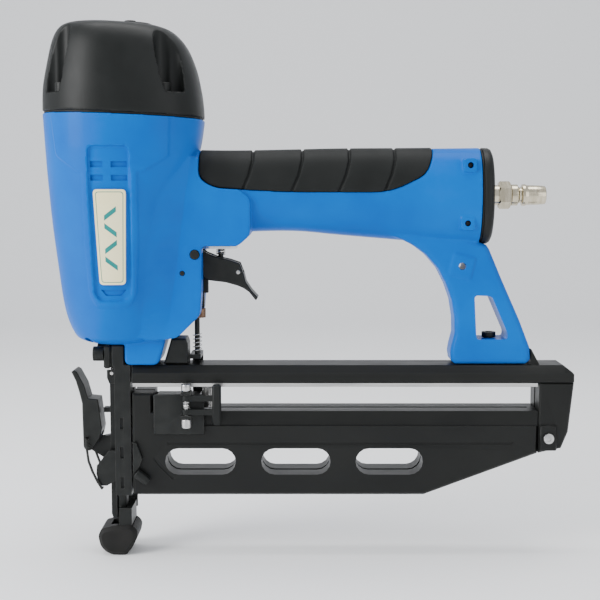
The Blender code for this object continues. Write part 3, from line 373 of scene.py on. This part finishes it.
def smooth_rows(table, count):
    """Rows read from a smooth curve through the table's rows, evenly between each pair."""
    rows = []
    for i in range(len(table) - 1):
        before = table[max(i - 1, 0)]
        after = table[min(i + 2, len(table) - 1)]
        for k in range(count):
            t = k / count
            row = []
            for a, b, c, d in zip(before, table[i], table[i + 1], after):
                slope_b, slope_c = (c - a) / 2, (d - b) / 2
                row.append(b + slope_b * t + (3 * (c - b) - 2 * slope_b - slope_c) * t ** 2
                           + (2 * (b - c) + slope_b + slope_c) * t ** 3)
            rows.append(tuple(row))
    return rows + [tuple(table[-1])]


def cad_copy(node):
    """A CAD node's mesh as a bmesh in millimetres, with its flat faces made whole."""
    source = frame["nodes"][node]
    mesh = bmesh.new()
    mesh.from_mesh(source.data)
    bmesh.ops.transform(mesh, matrix=source.matrix_world, verts=mesh.verts)
    bmesh.ops.scale(mesh, verts=mesh.verts, vec=(1 / MM, 1 / MM, 1 / MM))
    bmesh.ops.remove_doubles(mesh, verts=mesh.verts, dist=WELD)
    bmesh.ops.dissolve_limit(mesh, angle_limit=FLAT_ANGLE, verts=mesh.verts, edges=mesh.edges)
    return mesh


def refine(node, mat, width=0.4, angle=40.0, cuts=()):
    """Copy a CAD node, round its edges with a small bevel, and let the copy stand for it."""
    item = make_object(f"{node}_finished", cad_copy(node), mat)
    if cuts:
        boolean(item, "DIFFERENCE", cuts)
    bevel = item.modifiers.new("edges", "BEVEL")
    bevel.width = width * MM
    bevel.segments = 3
    bevel.limit_method = "ANGLE"
    bevel.angle_limit = math.radians(angle)
    bevel.harden_normals = True
    bpy.context.view_layer.update()
    apply_modifiers(item)
    return stand_for(item, node)


# ---------------------------------------------------------------- shared shapes

SEAM_Z = 262.0
SEAM_TILT = 0.041
WIDEST_REACH = 41.65
WIDEST_HALF = 41.45
TRIGGER_BOX_HALF = 19.3
CASTING_VOXEL = 0.7
GRIP_VOXEL = 0.5
MELT_PASSES = 2
BARREL = [  # height, reach to -X, reach to +X, half width
    (128.2, 13.0, 19.0, 13.0), (130.0, 20.0, 24.5, 19.0), (133.0, 24.6, 27.0, 22.6),
    (142.0, 28.8, 29.5, 27.2), (154.0, 31.6, 31.8, 31.0), (172.0, 33.9, 34.0, 33.8),
    (200.0, 37.2, 37.5, 37.0), (225.0, 39.3, 42.0, 39.3), (243.0, 40.5, 50.0, 40.6),
    (SEAM_Z, 41.6, 53.2, 41.4),
]
CAP = [
    (SEAM_Z + 1.2, 41.6, 53.1, 41.4), (271.0, 41.5, 52.6, 41.3), (279.0, 40.9, 51.5, 40.7),
    (291.0, 38.6, 48.9, 38.7), (302.0, 36.1, 44.5, 35.9), (308.5, 33.6, 39.8, 33.0),
    (312.6, 30.5, 34.6, 29.4), (314.8, 26.0, 28.0, 24.0), (315.3, 21.5, 23.0, 20.0),
]
HANDLE = [  # position, underside, top, half width
    (38.0, 192.0, 242.5, 16.0), (70.0, 194.0, 242.0, 16.5), (105.0, 194.8, 242.6, 17.0),
    (133.6, 192.4, 243.2, 17.0), (169.6, 189.4, 243.4, 17.5), (192.0, 187.6, 243.6, 19.5),
    (215.0, 187.2, 243.9, 21.9),
]
CAP_SCREWS = [(-25.5, -25.0), (-25.5, 25.0), (32.0, -26.5), (32.0, 26.5)]
END_PINS = [(208.0, 233.4), (206.9, 199.9)]
TRIGGER_PIVOT = (48.3, 181.7)
CROSS_PINS = [  # name, radius, X, Z, half length
    ("trigger_pin", 2.6, *TRIGGER_PIVOT, 20.3), ("guide_roll_pin", 1.3, 41.0, 170.8, 19.8),
    ("trigger_lever_pin", 1.2, 73.0, 170.7, 8.3), ("door_hinge_pin", 1.1, -2.7, 110.3, 8.6),
    ("latch_pivot_pin", 1.3, -17.3, 66.3, 8.4), ("end_cap_pin_upper", 1.5, *END_PINS[0], 18.5),
    ("end_cap_pin_lower", 1.5, *END_PINS[1], 18.5),
]
INLET_Z = 216.1


def egg_ring(z, left, right, half, tilt, grow=0.0, count=120):
    ring = []
    for i in range(count):
        t = 2 * math.pi * i / count
        c, s = math.cos(t), math.sin(t)
        reach = (right if c > 0 else left) + grow
        power = 1.0 - 0.22 * max(c, 0) * max(0.0, min(1.0, (right - half) / 4.0))
        x = reach * math.copysign(abs(c) ** power, c)
        y = (half + grow) * math.copysign(abs(s) ** power, s)
        ring.append((x, y, z - SEAM_TILT * x * tilt))
    return ring


def barrel(grow=0.0):
    bottom = BARREL[0][0]
    rings = []
    for row in smooth_rows(BARREL, 6):
        rings.append(egg_ring(*row, tilt=((row[0] - bottom) / (SEAM_Z - bottom)) ** 3, grow=grow))
    return loft(rings)


def capped_barrel(grow):
    """The barrel grown by a little, but never past its widest line at the seam."""
    bottom = BARREL[0][0]
    rings = []
    for z, left, right, half in smooth_rows(BARREL, 6):
        sizes = (min(left + grow, WIDEST_REACH), right + grow, min(half + grow, WIDEST_HALF))
        rings.append(egg_ring(z, *sizes, tilt=((z - bottom) / (SEAM_Z - bottom)) ** 3))
    return loft(rings)


def shoulder():
    """Web that runs from the barrel's side to the trigger box's face, and gives the long crease."""
    sections = [  # height, start along X, half width there, crease along X
        (132.5, 4.0, 20.6, 29.0), (142.0, 8.0, 25.2, 32.8), (154.0, 10.0, 28.8, 34.6),
        (172.0, 13.5, 30.4, 37.3), (200.0, 17.0, 32.4, 41.1), (225.0, 20.0, 33.9, 44.7),
        (238.0, 24.0, 33.2, 46.5),
    ]
    rings = []
    for z, start_x, start_half, crease_x in smooth_rows(sections, 4):
        slope = (start_half - TRIGGER_BOX_HALF) / (crease_x - start_x)
        end_x, end_half = crease_x + 1.0, TRIGGER_BOX_HALF - slope
        rings.append([(0.0, -start_half, z), (start_x, -start_half, z), (end_x, -end_half, z),
                      (end_x, end_half, z), (start_x, start_half, z), (0.0, start_half, z)])
    return loft(rings)


def handle_ring(x, low, top, half, grow=0.0, count=72):
    ring = []
    for i in range(count):
        t = 2 * math.pi * i / count
        c, s = math.cos(t), math.sin(t)
        y = (half + grow) * math.copysign(abs(c) ** 0.85, c)
        z = (low + top) / 2 + ((top - low) / 2 + grow) * math.copysign(abs(s) ** 0.85, s)
        ring.append((x, y, z))
    return ring


def handle(grow=0.0):
    return loft([handle_ring(*row, grow=grow) for row in smooth_rows(HANDLE, 5)])


def grip_outline(grow=0.0):
    corners = [
        (51.0 - grow, 250.0), (50.6 - grow, 226.0 - grow), (60.0, 220.4 - grow), (105.0, 218.0 - grow),
        (162.0 + grow, 218.0 - grow), (183.0 + grow, 228.5 - grow), (187.0 + grow, 240.0),
        (187.0 + grow, 250.0),
    ]
    return rounded(corners, 11.0)


def strut_outline():
    underside = [(150.0, 196.0), (160.0, 193.2), (169.6, 190.0), (176.8, 186.4), (184.0, 181.0), (191.2, 172.8),
                 (196.0, 163.5)]
    front = [(199.4, 154.0), (201.2, 143.0), (201.4, 134.0), (199.6, 127.0), (198.9, 122.5), (199.6, 118.0),
             (202.0, 116.0)]
    back = [(244.0, 116.0), (246.6, 118.5), (246.2, 126.0), (239.9, 142.1), (229.2, 165.9), (221.4, 184.2)]
    top = [(219.6, 187.0), (210.0, 190.0), (205.0, 204.0), (150.0, 210.0)]
    return underside + front + back + top


def as_bmesh(item):
    """Take an object's mesh back as a bmesh in millimetres, and remove the object."""
    mesh = bmesh.new()
    mesh.from_mesh(item.data)
    bmesh.ops.scale(mesh, verts=mesh.verts, vec=(1 / MM, 1 / MM, 1 / MM))
    bpy.data.objects.remove(item, do_unlink=True)
    return mesh


def on_barrel(outline, low, high):
    """A plate with that side view which follows the barrel's near face from low to high above it."""
    item = make_object("plate", prism(outline, -70.0, -5.0))
    boolean(item, "INTERSECT", [barrel(high) if high > 2.0 else capped_barrel(high)])
    if low > -30.0:
        boolean(item, "DIFFERENCE", [barrel(low)])
    return as_bmesh(item)


def round_edges(item, width, segments=3, angle=40.0):
    bevel = item.modifiers.new("edges", "BEVEL")
    bevel.width = width * MM
    bevel.segments = segments
    bevel.limit_method = "ANGLE"
    bevel.angle_limit = math.radians(angle)
    bpy.context.view_layer.update()
    apply_modifiers(item)
    return item


def merged(name, *shapes):
    """Several shapes in one object, each kept as its own shell."""
    whole = bmesh.new()
    for shape in shapes:
        data = bpy.data.meshes.new("piece")
        shape.to_mesh(data)
        shape.free()
        whole.from_mesh(data)
        bpy.data.meshes.remove(data)
    return make_object(name, whole)


def dress(item, mat, angle=38.0):
    item.data.materials.clear()
    item.data.materials.append(mat)
    item.data.shade_smooth()
    item.data.set_sharp_from_angle(angle=math.radians(angle))


def square_boss(x, z, size, half, tilt=0.0):
    corners = [(-size, -size), (size, -size), (size, size), (-size, size)]
    c, s = math.cos(math.radians(tilt)), math.sin(math.radians(tilt))
    return prism(rounded([(x + a * c - b * s, z + a * s + b * c) for a, b in corners], 1.2), -half, half)


# ---------------------------------------------------------------- housing

def grip_recess():
    return shell_outside(handle(-2.7), prism(grip_outline(0.25), -30.0, 30.0))


def barrel_relief():
    """Raised shield under the seam, the U-shaped frame round the badge, and the sunk panel inside it."""
    shield = rounded([
        (-33.0, 266.0), (-29.2, 238.8), (-15.6, 229.4), (21.7, 229.9), (35.3, 238.3), (35.8, 266.0)], 1.5)
    frame_line = rounded([
        (-13.2, 242.5), (-12.6, 190.0), (-11.0, 160.0), (-7.0, 152.0), (12.0, 152.0), (16.0, 160.0),
        (17.4, 190.0), (18.0, 242.0), (15.0, 242.0), (13.4, 158.0), (10.0, 155.0), (-5.0, 155.0),
        (-8.2, 160.0), (-10.2, 242.5)], 3.0)
    panel = rounded([
        (-9.8, 244.0), (14.0, 244.0), (13.0, 160.0), (9.6, 155.6), (-4.8, 155.6), (-8.0, 160.0)], 4.0)
    skin = make_object("skin", barrel())
    boolean(skin, "DIFFERENCE", [on_barrel(panel, -1.3, 4.0)])
    raised = make_object("raised", on_barrel(shield, -4.0, 0.8))
    boolean(raised, "DIFFERENCE", [prism(panel, -70.0, -5.0)])
    return [as_bmesh(skin), as_bmesh(raised), on_barrel(frame_line, -4.0, 0.8)]


def barrel_marks():
    """Four small pockets above the badge and an open one below it."""
    marks = []
    for x0, x1 in ((-8.4, -1.1), (3.3, 12.4)):
        for z0, z1 in ((231.9, 235.4), (224.4, 227.8)):
            marks.append(on_barrel(rounded([(x0, z0), (x1, z0), (x1, z1), (x0, z1)], 0.4, 2), -2.6, 3.0))
    wedge = rounded([(-4.5, 162.3), (-1.5, 158.6), (7.2, 158.6), (10.1, 162.3)], 0.5, 2)
    marks.append(on_barrel(wedge, -2.4, 3.0))
    return marks


def build_housing():
    trigger_box = rounded([
        (18.0, 130.8), (31.5, 131.9), (37.9, 133.1), (51.2, 146.2), (52.3, 161.2), (52.3, 186.6),
        (73.4, 186.6), (80.6, 193.0), (80.6, 214.0), (51.0, 238.0), (18.0, 238.0)], 2.0, 2)
    foot = rounded([(6.0, 116.1), (25.8, 116.1), (30.2, 131.0), (28.0, 142.0), (6.0, 142.0)], 3.5)
    boss = rounded([
        (52.0, 186.6), (73.2, 186.6), (77.0, 189.5), (80.4, 200.0), (80.4, 212.0), (52.0, 212.0)], 3.0)
    side = make_object("side", prism(trigger_box, -TRIGGER_BOX_HALF, TRIGGER_BOX_HALF))
    boolean(side, "DIFFERENCE", [grip_recess()])
    strut = round_edges(make_object("strut", prism(strut_outline(), -10.8, 10.8)), 3.2, 5, 60.0)
    foot_item = round_edges(make_object("foot", prism(foot, -14.8, 14.8)), 1.6, 3, 60.0)
    tube = make_object("tube", handle())
    boolean(tube, "DIFFERENCE", [grip_recess()])
    shapes = barrel_relief() + [as_bmesh(part) for part in (side, strut, foot_item, tube)]
    shapes.append(prism(boss, -16.5, 16.5))
    shapes.append(shoulder())
    shapes += [square_boss(x, z, 3.9, 21.0 if z > 220 else 20.4) for x, z in END_PINS]
    shapes.append(square_boss(205.3, 174.4, 6.3, 11.6, tilt=-14.0))
    body = merged("housing_shell", *shapes)
    melt(body, CASTING_VOXEL, MELT_PASSES)

    window = rounded([(212.7, 157.1), (222.9, 156.7), (232.8, 134.1), (232.4, 130.9), (214.2, 130.8)], 2.2)
    px, pz = TRIGGER_PIVOT
    bore = [(0, 142.0), (24.3, 142.0), (24.3, 147.0), (27.0, 151.0), (27.0, 275.0), (0, 275.0)]
    hollow = [handle_ring(x, *sizes, grow=-5.0) for x, *sizes in HANDLE[1:-1] + [(222.0, 187.2, 243.9, 21.9)]]
    cuts = [
        turned(bore, segments=96),
        loft(hollow),
        box(-3.0, 3.0, -3.5, 3.5, 120.0, 144.0),
        rod(9.2, (62.3, 0, 180.0), (62.3, 0, 214.0)),
        prism(window, -20.0, 20.0),
        rod(2.2, (205.3, -20, 174.4), (205.3, 20, 174.4)),
        rod(2.7, (223.0, 0, 110.0), (223.0, 0, 132.0)),
        rod(3.0, (px, -22, pz), (px, 22, pz)),
        rod(1.6, (41.0, -22, 170.8), (41.0, 22, 170.8)),
        box(43.6, 60.0, -8.8, 8.8, 138.3, 186.0),
        box(43.6, 60.0, -8.8, 8.8, 125.0, 133.7),
        rod(2.3, (47.8, 0, 130.0), (47.8, 0, 140.0)),
        rod(2.6, (-18.0, -22.0, 127.0), (-12.0, -10.0, 134.0)),
    ]
    cuts += [rod(1.8, (x, -24, z), (x, 24, z)) for x, z in END_PINS]
    cuts += [rod(2.7, (x, y, 243.0), (x, y, 270.0)) for x, y in CAP_SCREWS]
    cuts += [rod(2.5, (0, y, 122.1), (19.0, y, 122.1)) for y in (-8.0, 8.0)]
    boolean(body, "DIFFERENCE", cuts + barrel_marks())
    dress(body, PAINT)
    stand_for(body, "main_housing")


# ---------------------------------------------------------------- grip and cap

def build_grip():
    item = make_object("grip_overmould", shell_outside(handle(-2.4), prism(grip_outline(), -30.0, 30.0)))
    boolean(item, "INTERSECT", [handle(0.5)])
    grooves = []
    for x in (79.0, 108.0, 135.5, 162.0):
        line = [(x + 3.0, 250.0), (x + 3.0, 236.0), (x + 1.0, 228.0), (x - 5.0, 214.0)]
        outline = [(a - 0.8, b) for a, b in line] + [(a + 0.8, b) for a, b in reversed(line)]
        grooves.append(shell_outside(handle(-0.7), prism(outline, -30.0, 30.0)))
    boolean(item, "DIFFERENCE", grooves)
    melt(item, GRIP_VOXEL, MELT_PASSES)
    dress(item, RUBBER, 60.0)
    stand_for(item, "handle_grip")


def build_cap():
    item = make_object("cap_moulding", loft([egg_ring(*row, tilt=1.0) for row in smooth_rows(CAP, 6)]))
    cuts = [rod(15.0, (10.0, 0, 309.0), (10.0, 0, 330.0), 64)]
    for x, y in CAP_SCREWS:
        for aside in (0.0, 5.0 if x > 0 else -5.0):
            place = (x * 1.03 + aside, y * 1.03)
            cuts.append(rod(6.2, (*place, 274.4), (*place, 330.0), 40))
    boolean(item, "DIFFERENCE", cuts)
    melt(item, CASTING_VOXEL, MELT_PASSES)
    holes = [rod(2.7, (x, y, 255.0), (x, y, 280.0)) for x, y in CAP_SCREWS]
    holes.append(turned([(0, 250.0), (27.0, 250.0), (27.0, 290.0), (0, 290.0)], segments=96))
    holes.append(rod(2.0, (10.0, 0, 304.0), (10.0, 0, 312.0)))
    holes += [rod(3.6, (10.0, y, 280.0), (10.0, y, 320.0)) for y in (-7.0, 7.0)]
    boolean(item, "DIFFERENCE", holes)
    dress(item, CAP_PLASTIC)
    stand_for(item, "exhaust_cap")


# ---------------------------------------------------------------- badge

def build_badge():
    """A cream plate with a thin printed border and plain slanted bars in place of lettering."""
    corners = [(-6.9, 219.6), (11.5, 219.6), (9.9, 165.2), (-4.7, 165.2)]
    plate = make_object("badge_face", on_barrel(rounded(corners, 2.4), -1.3, 0.35), BADGE)
    dress(plate, BADGE, 30.0)
    stand_for(plate, "badge_plate")
    inner = rounded([(-5.6, 218.3), (10.2, 218.3), (8.7, 166.5), (-3.5, 166.5)], 1.9)
    core = prism(rounded([(-5.25, 217.95), (9.85, 217.95), (8.4, 166.85), (-3.2, 166.85)], 1.7), -70.0, 0.0)
    border = make_object("badge_border", on_barrel(inner, 0.2, 0.42))
    boolean(border, "DIFFERENCE", [core])
    bars = []
    for index, z in enumerate((176.0, 185.5, 195.0, 204.5)):
        slant = 2.6 if index % 2 else -2.6
        bar = [(-0.9, z - slant), (5.9, z + slant), (5.9, z + slant + 3.0), (-0.9, z - slant + 3.0)]
        bars.append(on_barrel(bar, 0.2, 0.42))
    marks = merged("badge_bars", *bars)
    for item in (border, marks):
        dress(item, TEAL, 30.0)
        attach(item, BODY["badge_plate"])


# ---------------------------------------------------------------- turned pieces

def soft_profile(profile, radius=0.3):
    """Round a profile's corners, apart from those on the axis."""
    points = []
    for index, corner in enumerate(profile):
        if corner[0] < 1e-6:
            points.append(corner)
            continue
        here = Vector(corner)
        before = Vector(profile[index - 1]) - here
        after = Vector(profile[(index + 1) % len(profile)]) - here
        reach = min(radius, before.length * 0.4, after.length * 0.4)
        first = here + before.normalized() * reach
        last = here + after.normalized() * reach
        for t in (0.0, 0.35, 0.65, 1.0):
            point = first * (1 - t) ** 2 + here * 2 * t * (1 - t) + last * t ** 2
            points.append((point.x, point.y))
    return points


def lathe(node, mat, profile, centre, axis=(0, 0, 1), radius=0.3, socket=None):
    """A turned piece with soft corners; socket is (across corners, from, to) for a hexagon recess."""
    item = make_object(f"{node}_turned", turned(soft_profile(profile, radius), centre, axis, 64))
    if socket:
        width, start, end = socket
        way = Vector(axis).normalized()
        hexagon = rod(width / 2, Vector(centre) + way * start, Vector(centre) + way * end, 6)
        boolean(item, "DIFFERENCE", [hexagon])
    dress(item, mat, 30.0)
    return stand_for(item, node)


def build_turned():
    for index, (x, y) in enumerate(CAP_SCREWS):
        profile = [(0, 246.0), (2.4, 246.0), (2.4, 274.7), (4.2, 274.7), (4.2, 279.7), (0, 279.7)]
        lathe(f"cap_screw_{index + 1}", BLACK_STEEL, profile, (x, y, 0), socket=(4.6, 277.0, 281.0))
    deflector = [
        (2.2, 313.8), (12.0, 313.8), (12.0, 309.3), (14.0, 309.3), (14.0, 314.7), (12.5, 316.0), (2.2, 316.0)]
    item = make_object("deflector", turned(soft_profile(deflector, 0.8), (10.0, 0, 0), (0, 0, 1), 72))
    boolean(item, "DIFFERENCE", [box(18.0, 30.0, -5.0, 5.0, 308.0, 312.8)])
    dress(item, CAP_PLASTIC)
    stand_for(item, "exhaust_deflector")
    screw = [(0, 306.0), (1.7, 306.0), (1.7, 316.3), (3.6, 316.3), (3.3, 317.9), (0, 317.9)]
    lathe("deflector_screw", BLACK_STEEL, screw, (10.0, 0, 0), socket=(3.4, 316.8, 319.0))
    for side, y in (("near", -8.0), ("far", 8.0)):
        bolt = [(0, -13.4), (4.4, -13.4), (4.4, -7.2), (2.2, -7.2), (2.2, 18.0), (0, 18.0)]
        lathe(f"nose_bolt_{side}", BLACK_STEEL, bolt, (0, y, 122.1), (1, 0, 0), socket=(4.8, -14.0, -11.0))
    end = [(0, 9.0), (1.6, 9.0), (1.6, 16.1), (3.3, 16.1), (3.0, 17.6), (0, 17.6)]
    lathe("magazine_end_screw", BRIGHT_STEEL, end, (257.0, 0, 72.4), (0, -1, 0), socket=(3.0, 16.9, 19.0))
    pin = [
        (0, 79.8), (2.8, 79.8), (3.0, 80.6), (3.0, 84.6), (2.6, 85.1), (1.2, 85.1), (1.2, 101.7),
        (2.6, 101.7), (3.0, 102.2), (3.0, 105.0), (2.8, 105.8), (0, 105.8)]
    lathe("pusher_hinge_pin", BRIGHT_STEEL, pin, (42.8, -20.4, 0), radius=0.2)
    bolt = [(0, 110.0), (2.3, 110.0), (2.3, 131.2), (4.2, 131.2), (4.2, 134.4), (0, 134.4)]
    lathe("strut_bolt", BLACK_STEEL, bolt, (223.0, 0, 0), socket=(4.6, 132.6, 136.0))
    knob = [(0, -4.5), (2.4, -4.5), (2.8, -4.0), (2.8, 4.0), (2.4, 4.5), (0, 4.5)]
    lathe("nose_lock_screw", BLACK_STEEL, knob, (15.9, -18.0, 49.4), (0.79, 0.0, -0.61), socket=(2.8, 3.0, 6.0))
    for node, radius, x, z, half in CROSS_PINS:
        profile = [(0, -half), (radius, -half), (radius, half), (0, half)]
        lathe(node, SLOT_MATERIAL[SLOT[node]], profile, (x, 0, z), (0, -1, 0))


def build_air_plug():
    body = [
        (3.5, 218.0), (6.0, 218.0), (6.0, 227.6), (5.5, 227.6), (5.5, 234.6), (6.3, 235.0), (6.3, 238.6),
        (5.2, 239.2), (4.6, 239.6), (4.6, 240.8), (6.4, 241.4), (6.5, 243.0), (5.9, 244.4), (5.8, 250.0),
        (5.4, 255.0), (4.8, 255.4), (3.5, 255.4),
    ]
    item = make_object("plug", turned(soft_profile(body), (0, 0, INLET_Z), (1, 0, 0), 72))
    hexagon = turned([(4.5, 227.4), (8.2, 227.4), (8.2, 234.4), (4.5, 234.4)], (0, 0, INLET_Z), (1, 0, 0), 6)
    chamfer = turned([(0, 226.0), (6.9, 226.9), (8.3, 228.3), (8.3, 233.5), (6.9, 234.9), (0, 235.8)],
                     (0, 0, INLET_Z), (1, 0, 0), 72)
    nut = make_object("nut", hexagon)
    boolean(nut, "INTERSECT", [chamfer])
    boolean(item, "UNION", [as_bmesh(nut)])
    dress(item, NICKEL, 28.0)
    stand_for(item, "air_plug")


def build_end_cap():
    low, top, half = 187.2, 243.9, 21.7
    stations = [
        (216.6, -0.2), (216.9, 0.0), (220.0, 0.0), (221.4, -0.8), (222.4, -2.8), (223.0, -5.6), (223.2, -9.0)]
    item = make_object("closing_cap", loft([handle_ring(x, low, top, half, grow=grow) for x, grow in stations]))
    boolean(item, "DIFFERENCE", [rod(6.3, (212.0, 0, INLET_Z), (226.0, 0, INLET_Z), 48)])
    dress(item, CAP_PLASTIC)
    stand_for(item, "end_cap")
    ring = make_object("closing_gasket", loft([handle_ring(x, low, top, 21.9, grow=-0.8) for x in (215.5, 216.3)]))
    boolean(ring, "DIFFERENCE", [loft([handle_ring(x, low, top, 21.9, grow=-5.0) for x in (210.0, 220.0)])])
    dress(ring, PAD_RUBBER)
    stand_for(ring, "end_cap_gasket")


def round_spring(node, body):
    """A smooth coil in place of the CAD one."""
    item = make_object(f"{node}_coil", cad_copy(node))
    finer = item.modifiers.new("finer", "SUBSURF")
    finer.levels = 2
    finer.render_levels = 2
    bpy.context.view_layer.update()
    apply_modifiers(item)
    dress(item, BRIGHT_STEEL, 60.0)
    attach(item, body)
    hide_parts(node)
    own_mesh(item)


# ---------------------------------------------------------------- the whole object

def finish_cad_nodes():
    """Give every CAD node its material, and the plate and machined pieces softened edges."""
    for node, item in frame["nodes"].items():
        item.data.materials.clear()
        item.data.materials.append(SLOT_MATERIAL[SLOT[node]])
    grooves = []
    for y0, y1 in ((-15.0, -13.4), (13.4, 15.0)):
        level = [(31.0, 68.4), (236.0, 68.4), (236.8, 69.8), (30.0, 69.8)]
        sloped = [(22.0, 60.0), (25.0, 56.0), (33.6, 47.0), (34.8, 48.2), (26.0, 58.0), (23.2, 61.4)]
        grooves.append(prism(level, y0, y1))
        grooves.append(prism(sloped, y0, y1))
    refine("magazine_lower_body", MAGAZINE_BLACK, 0.5, cuts=grooves)
    for node in ("magazine_top_rail", "magazine_rear_block"):
        refine(node, MAGAZINE_BLACK, 0.7)
    for node in ("nose_body", "nose_door", "nose_clamp_plate", "latch_lever", "magazine_front_bracket",
                 "pusher_body", "contact_arm_lower", "contact_arm_upper", "nose_lock_bracket"):
        refine(node, BLACK_STEEL, 0.35)
    for node, mat, width in (("trigger", BLACK_STEEL, 0.7), ("pusher_tab", CAP_PLASTIC, 0.5),
                             ("rail_strip", BRIGHT_STEEL, 0.2), ("depth_wheel", BRASS, 0.2),
                             ("no_mar_pad", PAD_RUBBER, 0.8), ("trigger_lever", BRIGHT_STEEL, 0.3),
                             ("pusher_roll_spring", BRIGHT_STEEL, 0.2)):
        refine(node, mat, width)


add_camera()
add_studio()
finish_cad_nodes()
round_spring("contact_arm_spring", "body")
build_housing()
build_grip()
build_cap()
build_badge()
build_turned()
build_air_plug()
build_end_cap()
